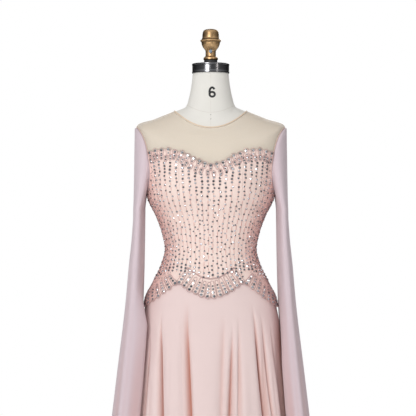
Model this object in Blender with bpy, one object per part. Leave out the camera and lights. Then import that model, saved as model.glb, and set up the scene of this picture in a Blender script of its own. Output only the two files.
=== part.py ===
"""Floor length evening dress with a beaded bodice and long cape sleeves, on a limbless dress form.

Metres. Z is up, the front faces -Y, +X is the right side of the photo and the floor is Z = 0.
Left and right are as seen from the front. Angles go round the body from the front centre (0)
over the right side (90 degrees) to the centre back (180 degrees).
"""
import math

import bpy
import numpy as np

for thing in list(bpy.data.objects):
    bpy.data.objects.remove(thing, do_unlink=True)

GAP = 0.0003
HALF_TURN = math.pi
QUARTER_TURN = math.pi / 2

HEM_Z = 0.022
SLEEVE_HEM_Z = 0.105

YOKE_INNER = 0.0003
YOKE_OUTER = 0.0013
BODICE_INNER = 0.0026
BODICE_OUTER = 0.0040
SKIRT_OUT = -0.0006
SKIRT_WALL = 0.0010
SLEEVE_WALL = 0.0012

# The rings of the body under the cloth, from the neck down. Each ring has its own height at the
# side, at the front and at the back, so the rings run over the shoulders as a yoke does.
# Columns: half width, height at the side, front depth, height at the front, back depth,
# height at the back, power of the ring's curve.
BODY = (
    (0.0490, 1.5635, 0.0490, 1.5635, 0.0490, 1.5635, 2.00),
    (0.0530, 1.5300, 0.0515, 1.5270, 0.0525, 1.5330, 2.00),
    (0.0595, 1.4980, 0.0570, 1.4840, 0.0590, 1.5050, 2.00),
    (0.0670, 1.4755, 0.0680, 1.4500, 0.0690, 1.4850, 2.00),
    (0.0995, 1.4600, 0.0830, 1.4115, 0.0860, 1.4520, 2.05),
    (0.1490, 1.4400, 0.0980, 1.3850, 0.1020, 1.4180, 2.15),
    (0.1985, 1.4190, 0.1090, 1.3520, 0.1100, 1.3780, 2.25),
    (0.1860, 1.3300, 0.1160, 1.3000, 0.1120, 1.3080, 2.30),
    (0.1690, 1.2360, 0.1150, 1.2360, 0.1030, 1.2360, 2.30),
    (0.1430, 1.1800, 0.1010, 1.1800, 0.0940, 1.1800, 2.25),
    (0.1270, 1.1350, 0.0925, 1.1350, 0.0870, 1.1350, 2.20),
    (0.1187, 1.0900, 0.0885, 1.0900, 0.0855, 1.0900, 2.20),
    (0.1300, 1.0450, 0.0915, 1.0450, 0.0940, 1.0450, 2.20),
    (0.1520, 1.0000, 0.0985, 1.0000, 0.1080, 1.0000, 2.20),
    (0.1730, 0.9550, 0.1060, 0.9550, 0.1190, 0.9550, 2.20),
    (0.1790, 0.9100, 0.1090, 0.9100, 0.1220, 0.9100, 2.20),
    (0.1740, 0.8400, 0.1060, 0.8400, 0.1150, 0.8400, 2.20),
)
# How far the dress form lies inside the rings. Columns: ring number, distance.
FORM_INSET = ((0.0, 0.0008), (3.6, 0.0010), (4.4, 0.0026), (5.3, 0.0050), (6.5, 0.0050),
              (7.4, 0.0026), (16.0, 0.0026))
NECKLINE_RING = 4.0
TIP_RING = 6.0
PIT_RING = 8.0
LAST_RING = 16.0

# The soft fullness that the princess seams give the front.
# Columns: distance from the centre, height, width, tall, outward.
FULLNESS = (0.080, 1.262, 0.052, 0.052, 0.0130)

# The armhole is a rounded loop in ring and angle.
# Columns: front and back reach in degrees, power above and below the middle.
ARMHOLE = (32.0, 30.0, 2.9, 2.1)

# Edges, symmetric about the centre. Columns: distance from the centre, height.
SWEETHEART = (
    (0.000, 1.3085), (0.015, 1.3100), (0.030, 1.3165), (0.045, 1.3240), (0.060, 1.3325),
    (0.080, 1.3430), (0.100, 1.3490), (0.120, 1.3495), (0.145, 1.3480), (0.165, 1.3410),
    (0.200, 1.3380),
)
BACK_TOP = ((0.000, 1.2960), (0.060, 1.3000), (0.120, 1.3160), (0.165, 1.3330), (0.200, 1.3360))
HIP_LOBE = (
    (0.000, 0.9680), (0.023, 0.9715), (0.041, 0.9790), (0.056, 0.9870), (0.069, 0.9965),
    (0.0875, 1.0090),
)
HIP_WING = (
    (0.0875, 1.0090), (0.095, 1.0000), (0.108, 0.9890), (0.119, 0.9806), (0.134, 0.9700),
    (0.148, 0.9590), (0.164, 0.9474), (0.178, 0.9390), (0.200, 0.9370),
)
PRINCESS = ((0.93, 0.0900), (1.01, 0.0875), (1.09, 0.0780), (1.20, 0.0800), (1.36, 0.0860))
SCALLOP_RISE = 0.0055
HIP_SCALLOP_FALL = 0.0045
ZIP_HALF = 0.0030
ZIP_END_Z = 0.900

# The skirt's own sections below the hip. Columns: height, half width, front depth, back depth.
SKIRT = (
    (0.900, 0.1830, 0.1150, 0.1270),
    (0.800, 0.1910, 0.1290, 0.1400),
    (0.640, 0.2060, 0.1560, 0.1680),
    (0.400, 0.2370, 0.2050, 0.2200),
    (0.022, 0.2850, 0.2680, 0.2850),
)

# The skirt's folds. Each is a valley that opens downward between round crests.
# Columns: angle at the hip, angle at 0.64 m, angle at the hem, height where it starts,
# depth at 0.64 m, depth at the hem, width on its lower angle side, width on the other side.
SKIRT_FOLDS = (
    (-104.0, -104.0, -104.0, 0.890, 0.006, 0.012, 6.0, 6.0),
    (-77.0, -77.0, -77.0, 0.860, 0.004, 0.008, 5.0, 5.0),
    (-58.2, -58.8, -58.0, 0.862, 0.010, 0.020, 5.0, 6.0),
    (-45.0, -37.2, -35.0, 0.915, 0.014, 0.028, 5.5, 5.5),
    (-27.0, -24.0, -23.0, 0.800, 0.002, 0.010, 5.0, 5.0),
    (-18.5, -12.6, -11.0, 0.966, 0.011, 0.025, 7.5, 3.2),
    (8.0, 5.6, 3.0, 0.940, 0.005, 0.012, 4.0, 4.0),
    (16.5, 13.0, 16.0, 0.895, 0.009, 0.022, 4.0, 5.0),
    (31.0, 29.0, 30.0, 0.930, 0.003, 0.014, 6.0, 6.0),
    (43.5, 44.4, 45.0, 0.920, 0.014, 0.028, 5.5, 4.5),
    (66.0, 65.5, 66.0, 0.880, 0.007, 0.011, 5.0, 5.0),
    (106.0, 106.0, 106.0, 0.890, 0.006, 0.012, 6.0, 6.0),
    (126.0, 128.0, 129.0, 0.900, 0.010, 0.024, 6.0, 5.0),
    (147.0, 149.0, 150.0, 0.905, 0.012, 0.026, 5.0, 6.0),
    (169.0, 168.0, 168.0, 0.870, 0.008, 0.020, 5.0, 4.0),
    (193.0, 191.0, 190.0, 0.890, 0.010, 0.024, 4.5, 5.5),
    (213.0, 211.0, 210.0, 0.905, 0.011, 0.026, 6.0, 5.0),
    (235.0, 232.0, 231.0, 0.900, 0.010, 0.022, 5.0, 6.0),
)

# The hanging part of a sleeve. Columns: height, inner side, outer side, half depth.
SLEEVE = (
    (1.200, 0.1775, 0.2060, 0.088),
    (1.120, 0.1785, 0.2115, 0.096),
    (1.050, 0.1797, 0.2190, 0.101),
    (0.950, 0.1830, 0.2285, 0.107),
    (0.870, 0.1875, 0.2380, 0.112),
    (0.820, 0.1905, 0.2445, 0.115),
    (0.640, 0.2030, 0.2670, 0.127),
    (0.400, 0.2240, 0.2960, 0.141),
    (0.105, 0.2520, 0.3310, 0.156),
)
# The sleeve's folds. Columns: angle round the sleeve from its outer side to its front in degrees,
# height where it starts, depth at 0.64 m, depth at the hem, width in degrees.
SLEEVE_FOLDS = (
    (118.0, 1.000, 0.0050, 0.0090, 14.0),
    (62.0, 1.150, 0.0040, 0.0110, 15.0),
    (20.0, 1.050, 0.0030, 0.0090, 14.0),
    (-22.0, 1.100, 0.0040, 0.0110, 14.0),
    (-62.0, 1.000, 0.0040, 0.0110, 15.0),
    (-118.0, 1.000, 0.0050, 0.0090, 14.0),
)
SLEEVE_POINTS = 28
SLEEVE_NARROWEST = 0.030
SLEEVE_CLEAR = 0.0042
SEAM_INSET = 0.0024

# Turned parts of the stand. Columns: radius, height.
NECK_CAP = (
    (0.0000, 1.5638), (0.0496, 1.5638), (0.0503, 1.5645), (0.0503, 1.5680), (0.0497, 1.5700),
    (0.0497, 1.5850), (0.0505, 1.5862), (0.0505, 1.5888), (0.0496, 1.5898), (0.0350, 1.5908),
    (0.0000, 1.5915),
)
WASHER = ((0.0000, 1.5918), (0.0180, 1.5918), (0.0180, 1.5995), (0.0000, 1.5995))
FINIAL = (
    (0.0000, 1.5998), (0.0190, 1.5998), (0.0195, 1.6010), (0.0195, 1.6055), (0.0165, 1.6085),
    (0.0142, 1.6105), (0.0140, 1.6130), (0.0140, 1.6235), (0.0150, 1.6265), (0.0178, 1.6300),
    (0.0215, 1.6350), (0.0243, 1.6420), (0.0250, 1.6468), (0.0262, 1.6495), (0.0284, 1.6512),
    (0.0284, 1.6525), (0.0262, 1.6545), (0.0240, 1.6570), (0.0226, 1.6605), (0.0226, 1.6635),
    (0.0220, 1.6690), (0.0200, 1.6745), (0.0165, 1.6795), (0.0110, 1.6827), (0.0050, 1.6838),
    (0.0000, 1.6840),
)
SCREW = ((0.0000, 0.0150), (0.0030, 0.0150), (0.0030, 0.0166), (0.0048, 0.0166),
         (0.0048, 0.0184), (0.0035, 0.0197), (0.0000, 0.0201))
SCREW_Z = 1.6220
POLE_RADIUS = 0.016
BASE = ((0.0000, 0.0000), (0.2100, 0.0000), (0.2120, 0.0020), (0.2120, 0.0140),
        (0.2080, 0.0180), (0.0000, 0.0180))


def column(table, number):
    return np.array([row[number] for row in table], float)


def prepared(knots, values):
    """A smooth curve through the knots that doesn't overshoot them, as a function."""
    knots = np.asarray(knots, float)
    values = np.asarray(values, float)
    if knots[0] > knots[-1]:
        knots = knots[::-1]
        values = values[::-1]
    step = np.diff(knots)
    slope = np.diff(values) / step
    tangent = np.zeros(len(knots))
    tangent[0] = slope[0]
    tangent[-1] = slope[-1]
    for i in range(1, len(knots) - 1):
        if slope[i - 1] * slope[i] > 0:
            before = 2 * step[i] + step[i - 1]
            after = step[i] + 2 * step[i - 1]
            tangent[i] = (before + after) / (before / slope[i - 1] + after / slope[i])

    def read(at):
        at = np.clip(np.asarray(at, float), knots[0], knots[-1])
        i = np.clip(np.searchsorted(knots, at, side="right") - 1, 0, len(step) - 1)
        s = (at - knots[i]) / step[i]
        t = 1 - s
        return (
            (values[i] * (1 + 2 * s) + tangent[i] * step[i] * s) * t * t
            + (values[i + 1] * (3 - 2 * s) - tangent[i + 1] * step[i] * t) * s * s
        )

    return read


def curve(knots, values, at):
    return prepared(knots, values)(at)


TABLE_CURVES = {}


def table_curve(table, at):
    if table not in TABLE_CURVES:
        TABLE_CURVES[table] = prepared(column(table, 0), column(table, 1))
    return TABLE_CURVES[table](at)


def power(base, exponent):
    return np.sign(base) * np.abs(base) ** exponent


def unit(vectors):
    return vectors / np.maximum(np.linalg.norm(vectors, axis=-1, keepdims=True), 1e-12)


RINGS = np.arange(len(BODY), dtype=float)


BODY_CURVES = [prepared(RINGS, column(BODY, number)) for number in range(7)]


def body_sizes(ring):
    return [read(ring) for read in BODY_CURVES]


def body_height(angle, ring):
    c = np.cos(angle)
    end = np.where(c >= 0, BODY_CURVES[3](ring), BODY_CURVES[5](ring))
    return BODY_CURVES[1](ring) * (1 - c * c) + end * c * c


def body_point(angle, ring):
    """The point of the body under the cloth at an angle and a ring number."""
    angle = np.asarray(angle, float)
    half, z_side, front, z_front, back, z_back, bend = body_sizes(ring)
    s = np.sin(angle)
    c = np.cos(angle)
    depth = np.where(c >= 0, front, back)
    z_end = np.where(c >= 0, z_front, z_back)
    x = half * power(s, 2 / bend)
    y = -depth * power(c, 2 / bend)
    z = z_side * s * s + z_end * c * c
    off_x, mid_z, wide, tall, out = FULLNESS
    bump = out * np.exp(-((np.abs(x) - off_x) / wide) ** 2 - ((z - mid_z) / tall) ** 2)
    y = y - bump * np.clip(c, 0, 1) ** 0.5
    return np.stack([x, y, z], axis=-1)


def body_normal(angle, ring):
    e = 1e-3
    along = body_point(angle + e, ring) - body_point(angle - e, ring)
    down = body_point(angle, ring + e) - body_point(angle, ring - e)
    return unit(np.cross(down, along))


def body_off(angle, ring, out):
    out = np.asarray(out, float)[..., None]
    return body_point(angle, ring) + body_normal(angle, ring) * out


def body_ring(angle, z):
    """The ring number where the body has height z at this angle."""
    angle, z = np.broadcast_arrays(np.asarray(angle, float), np.asarray(z, float))
    low = np.full(angle.shape, 3.0)
    high = np.full(angle.shape, LAST_RING)
    for _ in range(30):
        middle = (low + high) / 2
        above = body_height(angle, middle) > z
        low = np.where(above, middle, low)
        high = np.where(above, high, middle)
    return (low + high) / 2


def body_angle(x, z, behind=False):
    """The angle where the body has the side distance x at height z."""
    x, z = np.broadcast_arrays(np.asarray(x, float), np.asarray(z, float))
    angle = np.full(x.shape, 0.5)
    if behind:
        angle = HALF_TURN - angle
    for _ in range(12):
        ring = body_ring(angle, z)
        sizes = body_sizes(ring)
        share = np.clip(np.abs(x) / sizes[0], 0, 1)
        turn = np.arcsin(share ** (sizes[6] / 2)) * np.sign(x)
        angle = HALF_TURN - turn if behind else turn
    return angle


def side_angle(ring, behind=False):
    """The angle of a side seam's edge, half a gap away from the widest line."""
    sizes = body_sizes(ring)
    depth = sizes[4] if behind else sizes[2]
    turn = np.arccos((GAP / 2 / depth) ** (sizes[6] / 2))
    return HALF_TURN - turn if behind else turn


def armhole(turn):
    """Angle and ring on the armhole loop. Turn 0 is the shoulder tip, 180 degrees the armpit."""
    turn = np.asarray(turn, float)
    middle = (TIP_RING + PIT_RING) / 2
    reach = (PIT_RING - TIP_RING) / 2
    ring = middle - reach * np.cos(turn)
    bend = np.where(np.cos(turn) > 0, ARMHOLE[2], ARMHOLE[3])
    wide = np.clip(1 - np.abs(np.cos(turn)) ** bend, 0, 1) ** (1 / bend)
    side = np.where(np.sin(turn) >= 0, -math.radians(ARMHOLE[0]), math.radians(ARMHOLE[1]))
    return QUARTER_TURN + side * wide, ring


def stack(angle, ring):
    angle, ring = np.broadcast_arrays(np.asarray(angle, float), np.asarray(ring, float))
    return np.stack([angle, ring], axis=-1)


def edge_line(edge, start, end, count=80):
    """Angle and ring along an edge that is given as height over the distance from the centre."""
    angle = np.linspace(start, end, count)
    z = np.full(count, 1.2)
    for _ in range(12):
        ring = body_ring(angle, z)
        z = table_curve(edge, np.abs(body_point(angle, ring)[:, 0]))
    return stack(angle, body_ring(angle, z))


def seam_line(z_start, z_end, count=80):
    """Angle and ring down the princess seam's edge on the right."""
    z = np.linspace(z_start, z_end, count)
    angle = body_angle(table_curve(PRINCESS, z), z)
    return stack(angle, body_ring(angle, z))


def seam_corner(edge):
    """Height where the princess seam meets an edge."""
    z = 1.2
    for _ in range(20):
        z = float(table_curve(edge, table_curve(PRINCESS, z)))
    return z


def measured(points, place):
    """A function of 0 to 1 that runs evenly along a line of surface coordinates."""
    points = np.asarray(points, float)
    where = place(points[:, 0], points[:, 1])
    run = np.concatenate([[0], np.cumsum(np.linalg.norm(np.diff(where, axis=0), axis=1))])
    run = run / run[-1]

    def line(share):
        share = np.asarray(share, float)
        return np.stack([np.interp(share, run, points[:, 0]),
                         np.interp(share, run, points[:, 1])], axis=-1)

    return line


def patch(top, bottom, left, right, f, g):
    """Surface coordinates inside four edges, at shares f along and g down."""
    f = np.asarray(f, float)
    g = float(g)
    across = f[:, None]
    point = (1 - g) * top(f) + g * bottom(f)
    point = point + (1 - across) * left(g) + across * right(g)
    corner = (1 - g) * (1 - across) * top(0.0) + (1 - g) * across * top(1.0)
    corner = corner + g * (1 - across) * bottom(0.0) + g * across * bottom(1.0)
    return point - corner


def lace(rows, points):
    """Triangles between rows of point numbers. One row may have a multiple of the other's cells."""
    faces = []
    for upper, lower in zip(rows, rows[1:]):
        a = len(upper) - 1
        b = len(lower) - 1
        if a == b:
            for i in range(a):
                down = np.linalg.norm(points[upper[i]] - points[lower[i + 1]])
                rise = np.linalg.norm(points[lower[i]] - points[upper[i + 1]])
                if down <= rise:
                    faces.append((upper[i], lower[i], lower[i + 1]))
                    faces.append((upper[i], lower[i + 1], upper[i + 1]))
                else:
                    faces.append((upper[i], lower[i], upper[i + 1]))
                    faces.append((lower[i], lower[i + 1], upper[i + 1]))
        elif a > b:
            k = a // b
            for i in range(b):
                fine = upper[i * k:(i + 1) * k + 1]
                for j in range(k // 2):
                    faces.append((fine[j], lower[i], fine[j + 1]))
                faces.append((fine[k // 2], lower[i], lower[i + 1]))
                for j in range(k // 2, k):
                    faces.append((fine[j], lower[i + 1], fine[j + 1]))
        else:
            k = b // a
            for i in range(a):
                fine = lower[i * k:(i + 1) * k + 1]
                for j in range(k // 2):
                    faces.append((upper[i], fine[j], fine[j + 1]))
                faces.append((upper[i], fine[k // 2], upper[i + 1]))
                for j in range(k // 2, k):
                    faces.append((upper[i + 1], fine[j], fine[j + 1]))
    return faces


MATERIALS = {}


def material(name, colour, roughness, metallic=0.0):
    if name not in MATERIALS:
        made = bpy.data.materials.new(name)
        made.use_nodes = True
        shader = made.node_tree.nodes["Principled BSDF"]
        shader.inputs["Base Color"].default_value = (*colour, 1.0)
        shader.inputs["Roughness"].default_value = roughness
        shader.inputs["Metallic"].default_value = metallic
        MATERIALS[name] = made
    return MATERIALS[name]


def volume(points, faces):
    """Six times the volume inside the faces, negative when they face inward."""
    total = 0.0
    for face in faces:
        for i in range(1, len(face) - 1):
            total += np.dot(points[face[0]], np.cross(points[face[i]], points[face[i + 1]]))
    return total


def solid(name, points, faces, look):
    points = np.array(points, float)
    if volume(points, faces) < 0:
        faces = [tuple(reversed(face)) for face in faces]
    mesh = bpy.data.meshes.new(name)
    mesh.from_pydata([tuple(float(v) for v in point) for point in points], [], faces)
    mesh.validate()
    made = bpy.data.objects.new(name, mesh)
    bpy.context.scene.collection.objects.link(made)
    mesh.materials.append(look)
    return made


def walled(name, outer, inner, faces, look, flip=False):
    """A closed solid between two layers of points that share one set of triangles."""
    count = len(outer)
    every = [tuple(face) for face in faces]
    every += [tuple(i + count for i in reversed(face)) for face in faces]
    used = {}
    for face in faces:
        for a, b in zip(face, face[1:] + face[:1]):
            used[(a, b)] = True
    for a, b in used:
        if (b, a) not in used:
            every.append((b, a, a + count))
            every.append((b, a + count, b + count))
    points = np.concatenate([outer, inner])
    if flip:
        points = points * np.array([-1.0, 1.0, 1.0])
        every = [tuple(reversed(face)) for face in every]
    return solid(name, points, every, look)


def body_panel(name, look, edges, columns, shares, depths, scallops=(0, 0), fine=(1, 1),
               flip=False, knots=((0, 1), (0, 1))):
    """A cloth panel on the body. Edges are top, bottom, left, right as lines of angle and ring.

    scallops are how many lobes the top and bottom edges have, fine how many cells of these edges
    go to one column, and knots how the columns are shared out along the edges."""
    top, bottom, left, right = [measured(edge, body_point) for edge in edges]
    points = []
    rows = []
    count = 0
    for j, g in enumerate(shares):
        cells = columns
        lobes = 0
        shift = 0.0
        if j == 0:
            cells = columns * fine[0]
            lobes = scallops[0]
            shift = SCALLOP_RISE
        if j == len(shares) - 1:
            cells = columns * fine[1]
            lobes = scallops[1]
            shift = -HIP_SCALLOP_FALL
        f = np.interp(np.linspace(0, 1, cells + 1), knots[0], knots[1])
        place = patch(top, bottom, left, right, f, g)
        if lobes:
            z = body_point(place[:, 0], place[:, 1])[:, 2]
            z = z + shift * np.abs(np.sin(HALF_TURN * f * lobes)) ** 0.6
            place[:, 1] = body_ring(place[:, 0], z)
        points.append(place)
        rows.append(list(range(count, count + cells + 1)))
        count += cells + 1
    place = np.concatenate(points)
    inner = body_off(place[:, 0], place[:, 1], np.full(count, depths[0]))
    outer = body_off(place[:, 0], place[:, 1], np.full(count, depths[1]))
    return walled(name, outer, inner, lace(rows, outer), look, flip)


def turned(name, profile, look, count=24, axis="z", centre=(0.0, 0.0, 0.0)):
    """A solid of revolution. The profile runs from the axis over radius and height to the axis."""
    points = []
    rows = []
    for radius, height in profile:
        if radius == 0:
            rows.append([len(points)] * count)
            points.append((0.0, 0.0, height))
        else:
            rows.append(list(range(len(points), len(points) + count)))
            for i in range(count):
                turn = 2 * HALF_TURN * i / count
                points.append((radius * math.cos(turn), radius * math.sin(turn), height))
    faces = []
    for lower, upper in zip(rows, rows[1:]):
        for i in range(count):
            k = (i + 1) % count
            ring = [lower[i], lower[k], upper[k], upper[i]]
            face = []
            for point in ring:
                if point not in face:
                    face.append(point)
            if len(face) > 2:
                faces.append(tuple(face))
    points = np.array(points)
    if axis == "-y":
        points = np.stack([points[:, 0], -points[:, 2], points[:, 1]], axis=-1)
    return solid(name, points + np.array(centre), faces, look)


MESH = material("illusion_mesh", (0.78, 0.66, 0.55), 0.8)
BINDING = material("bound_edge", (0.74, 0.62, 0.50), 0.8)
BEADED = material("beaded_cloth", (0.80, 0.66, 0.60), 0.55)
CHIFFON = material("blush_chiffon", (0.84, 0.68, 0.64), 0.75)
ZIP = material("zip_tape", (0.74, 0.60, 0.52), 0.7)
CANVAS = material("form_canvas", (0.82, 0.79, 0.73), 0.9)
STEEL = material("polished_steel", (0.62, 0.62, 0.62), 0.18, 1.0)
BRASS = material("aged_brass", (0.47, 0.33, 0.15), 0.35, 1.0)
RUBBER = material("black_rubber", (0.02, 0.02, 0.02), 0.7)
POLE = material("pole_steel", (0.55, 0.55, 0.55), 0.3, 1.0)
IRON = material("base_iron", (0.05, 0.05, 0.05), 0.5, 0.6)


def lower_armhole(corner_ring, behind):
    """Armhole edge from where a panel's top meets it down to the armpit."""
    start = math.acos(7.0 - corner_ring)
    turn = np.linspace(start, HALF_TURN, 60)
    angle, ring = armhole(2 * HALF_TURN - turn if behind else turn)
    return stack(angle, ring)


def armhole_corner(edge, behind):
    """Angle and ring where an edge meets the armhole."""
    low = 0.1
    high = HALF_TURN - 0.05
    for _ in range(40):
        middle = (low + high) / 2
        angle, ring = armhole(2 * HALF_TURN - middle if behind else middle)
        point = body_point(angle, ring)
        if point[2] > table_curve(edge, abs(point[0])):
            low = middle
        else:
            high = middle
    angle, ring = armhole(2 * HALF_TURN - middle if behind else middle)
    return float(angle), float(ring)


def side_line(ring_end, behind, count=60):
    ring = np.linspace(PIT_RING, ring_end, count)
    return stack(side_angle(ring, behind), ring)


def side_ring(edge):
    """Ring where an edge meets the side seam."""
    z = 0.95
    for _ in range(20):
        ring = body_ring(QUARTER_TURN, z)
        z = float(table_curve(edge, body_sizes(ring)[0]))
    return float(body_ring(QUARTER_TURN, z))


def shoulder_line(behind, count=40):
    ring = np.linspace(NECKLINE_RING, TIP_RING, count)
    return stack(side_angle(ring, behind), ring)


BODICE_SHARES = (0.0, 0.05, 0.11, 0.17, 0.23, 0.29, 0.37, 0.46, 0.56, 0.66, 0.76, 0.85, 0.92, 1.0)


def shifted(line, distance, height_from=None):
    """A line moved sideways by a small distance in x along the body."""
    line = np.array(line)
    point = body_point(line[:, 0], line[:, 1])
    behind = np.cos(line[:, 0]).mean() < 0
    angle = body_angle(point[:, 0] + distance, point[:, 2], behind)
    return stack(angle, body_ring(angle, point[:, 2]))


def make_bodice():
    z_top = seam_corner(SWEETHEART)
    z_low = seam_corner(HIP_LOBE)
    seam = seam_line(z_top, z_low)
    inside = shifted(seam, -GAP / 2)
    outside = shifted(seam, GAP / 2)
    mirrored = inside * np.array([-1.0, 1.0])
    top = edge_line(SWEETHEART, mirrored[0, 0], inside[0, 0])
    bottom = edge_line(HIP_LOBE, mirrored[-1, 0], inside[-1, 0])
    body_panel("bodice_centre_front", BEADED, (top, bottom, mirrored, inside), 12,
               BODICE_SHARES, (BODICE_INNER, BODICE_OUTER), (12, 12), (4, 4))

    angle, ring = armhole_corner(SWEETHEART, False)
    low_ring = side_ring(HIP_WING)
    right = np.concatenate([lower_armhole(ring, False), side_line(low_ring, False)[1:]])
    top = edge_line(SWEETHEART, outside[0, 0], angle)
    bottom = edge_line(HIP_WING, outside[-1, 0], right[-1, 0])
    for name, flip in (("bodice_side_front_left", True), ("bodice_side_front_right", False)):
        body_panel(name, BEADED, (top, bottom, outside, right), 8,
                   BODICE_SHARES, (BODICE_INNER, BODICE_OUTER), (4, 8), (2, 4), flip)

    angle, ring = armhole_corner(BACK_TOP, True)
    left = np.concatenate([lower_armhole(ring, True), side_line(low_ring, True)[1:]])
    centre = back_line(float(table_curve(BACK_TOP, ZIP_HALF + GAP)),
                       float(table_curve(HIP_LOBE, ZIP_HALF + GAP)))
    top = edge_line(BACK_TOP, angle, centre[0, 0])
    both = HIP_LOBE[:-1] + HIP_WING
    bottom = edge_line(both, left[-1, 0], centre[-1, 0])
    for name, flip in (("bodice_back_left", True), ("bodice_back_right", False)):
        body_panel(name, BEADED, (top, bottom, left, centre), 12,
                   BODICE_SHARES, (BODICE_INNER, BODICE_OUTER), (6, 12), (2, 4), flip)


def back_line(z_start, z_end, count=60):
    z = np.linspace(z_start, z_end, count)
    angle = body_angle(np.full(count, ZIP_HALF + GAP), z, True)
    return stack(angle, body_ring(angle, z))


def share_at(line, number):
    """Share of a line's length at one of its points."""
    where = body_point(line[:, 0], line[:, 1])
    run = np.concatenate([[0], np.cumsum(np.linalg.norm(np.diff(where, axis=0), axis=1))])
    return run[number] / run[-1]


YOKE_SHARES = (0.0, 0.15, 0.32, 0.49, 0.66, 0.83, 1.0)


def make_yoke():
    tuck = 0.017
    under = tuple((x, z - tuck + SCALLOP_RISE) for x, z in SWEETHEART)
    angle, ring = armhole_corner(under, False)
    right = stack(*armhole(np.linspace(0.02, math.acos(7.0 - ring), 60)))
    left = right * np.array([-1.0, 1.0])
    seam = shoulder_line(False)
    seam[-1] = right[0]
    neck = seam[0, 0]
    top = np.concatenate([seam[::-1] * np.array([-1.0, 1.0]),
                          stack(np.linspace(-neck, neck, 80), np.full(80, NECKLINE_RING)),
                          seam])
    share = share_at(top, 39)
    bottom = edge_line(under, -angle, angle)
    body_panel("yoke_front", MESH, (top, bottom, left, right), 26, YOKE_SHARES,
               (YOKE_INNER, YOKE_OUTER), knots=((0, 6 / 26, 20 / 26, 1), (0, share, 1 - share, 1)))

    under = tuple((x, z - tuck + SCALLOP_RISE) for x, z in BACK_TOP)
    angle, ring = armhole_corner(under, True)
    turn = 2 * HALF_TURN - np.linspace(0.02, math.acos(7.0 - ring), 60)
    left = stack(*armhole(turn))
    seam = shoulder_line(True)
    seam[-1] = left[0]
    z_neck = body_sizes(NECKLINE_RING)[5]
    centre = back_line(float(z_neck), float(table_curve(under, ZIP_HALF + GAP)))
    centre[0, 1] = NECKLINE_RING
    top = np.concatenate([seam[::-1],
                          stack(np.linspace(seam[0, 0], centre[0, 0], 60),
                                np.full(60, NECKLINE_RING))])
    share = share_at(top, 39)
    bottom = edge_line(under, angle, centre[-1, 0])
    for name, flip in (("yoke_back_left", True), ("yoke_back_right", False)):
        body_panel(name, MESH, (top, bottom, left, centre), 13, YOKE_SHARES,
                   (YOKE_INNER, YOKE_OUTER), flip=flip, knots=((0, 6 / 13, 1), (0, share, 1)))


def make_binding():
    """The bound neck edge: a thick band that stands on the yoke's top edge, open at the back."""
    count = 36
    end = float(body_angle(GAP / 2, float(body_sizes(NECKLINE_RING)[5]), True))
    angle = np.linspace(-end, end, count + 1)
    low = body_off(angle, np.full(count + 1, NECKLINE_RING), np.zeros(count + 1))
    up = unit(body_off(angle, np.full(count + 1, NECKLINE_RING - 0.05), np.zeros(count + 1)) - low)
    out = body_normal(angle, np.full(count + 1, NECKLINE_RING))
    section = ((0.0010, 0.0004), (0.0010, 0.0020), (0.0017, 0.0026), (0.0034, 0.0026),
               (0.0042, 0.0020), (0.0042, 0.0004))
    rings = [low + up * a + out * b for a, b in section]
    points = np.stack(rings, axis=1).reshape(-1, 3)
    size = len(section)
    faces = []
    for i in range(count):
        for j in range(size):
            k = (j + 1) % size
            a = i * size + j
            b = i * size + k
            faces.append((a, b, b + size, a + size))
    faces.append(tuple(reversed(range(size))))
    faces.append(tuple(range(count * size, count * size + size)))
    solid("neck_binding", points, faces, BINDING)


def skirt_sizes(z):
    """Half width, front depth, back depth and power of the skirt's section."""
    knots = [1.04, 1.02, 1.00, 0.98, 0.955, 0.93]
    rows = []
    for z_knot in knots:
        sizes = body_sizes(body_ring(QUARTER_TURN, z_knot))
        rows.append((float(sizes[0]) + SKIRT_OUT, float(sizes[2]) + SKIRT_OUT,
                     float(sizes[4]) + SKIRT_OUT, 2.20))
    for row in SKIRT:
        knots.append(row[0])
        rows.append((row[1], row[2], row[3], 2.20 - 0.15 * (0.90 - row[0])))
    rows = np.array(rows)
    return [curve(knots, rows[:, number], z) for number in range(4)]


SKIRT_CACHE = {}


def skirt_rows(z):
    """Skirt sizes for an array of heights, worked out once for each height."""
    z = np.asarray(z, float)
    flat = np.round(z.ravel(), 6)
    for value in np.unique(flat):
        if value not in SKIRT_CACHE:
            SKIRT_CACHE[value] = [float(size) for size in skirt_sizes(value)]
    table = np.array([SKIRT_CACHE[value] for value in flat])
    return [table[:, number].reshape(z.shape) for number in range(4)]


def fold_depth(angle, z):
    """How far the skirt's folds move it outward, negative in a valley."""
    moved = np.zeros(np.broadcast(angle, z).shape)
    for hip, knee, hem, start, deep_knee, deep_hem, low_side, high_side in SKIRT_FOLDS:
        middle = np.radians(np.interp(z, (HEM_Z, 0.64, start), (hem, knee, hip)))
        ease = np.clip((start - z) / (start - 0.64), 0, 1)
        ease = ease * ease * (3 - 2 * ease)
        deep = np.where(z > 0.64, deep_knee * ease,
                        deep_knee + (deep_hem - deep_knee) * (0.64 - z) / (0.64 - HEM_Z))
        away = (angle - middle + HALF_TURN) % (2 * HALF_TURN) - HALF_TURN
        wide = np.radians(np.where(away < 0, low_side, high_side))
        u = np.abs(away) / wide
        moved = moved + deep * (0.30 - 1.30 * np.exp(-(u ** 1.7))) * np.exp(-((u / 5) ** 4))
    return moved


def skirt_point(angle, z):
    angle, z = np.broadcast_arrays(np.asarray(angle, float), np.asarray(z, float))
    half, front, back, bend = skirt_rows(z)
    s = np.sin(angle)
    c = np.cos(angle)
    depth = np.where(c >= 0, front, back)
    x = half * power(s, 2 / bend)
    y = -depth * power(c, 2 / bend)
    lean = np.stack([x / half ** 2, y / depth ** 2], axis=-1)
    lean = unit(lean)
    moved = fold_depth(angle, z)
    return np.stack([x + lean[..., 0] * moved, y + lean[..., 1] * moved, z], axis=-1)


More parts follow.
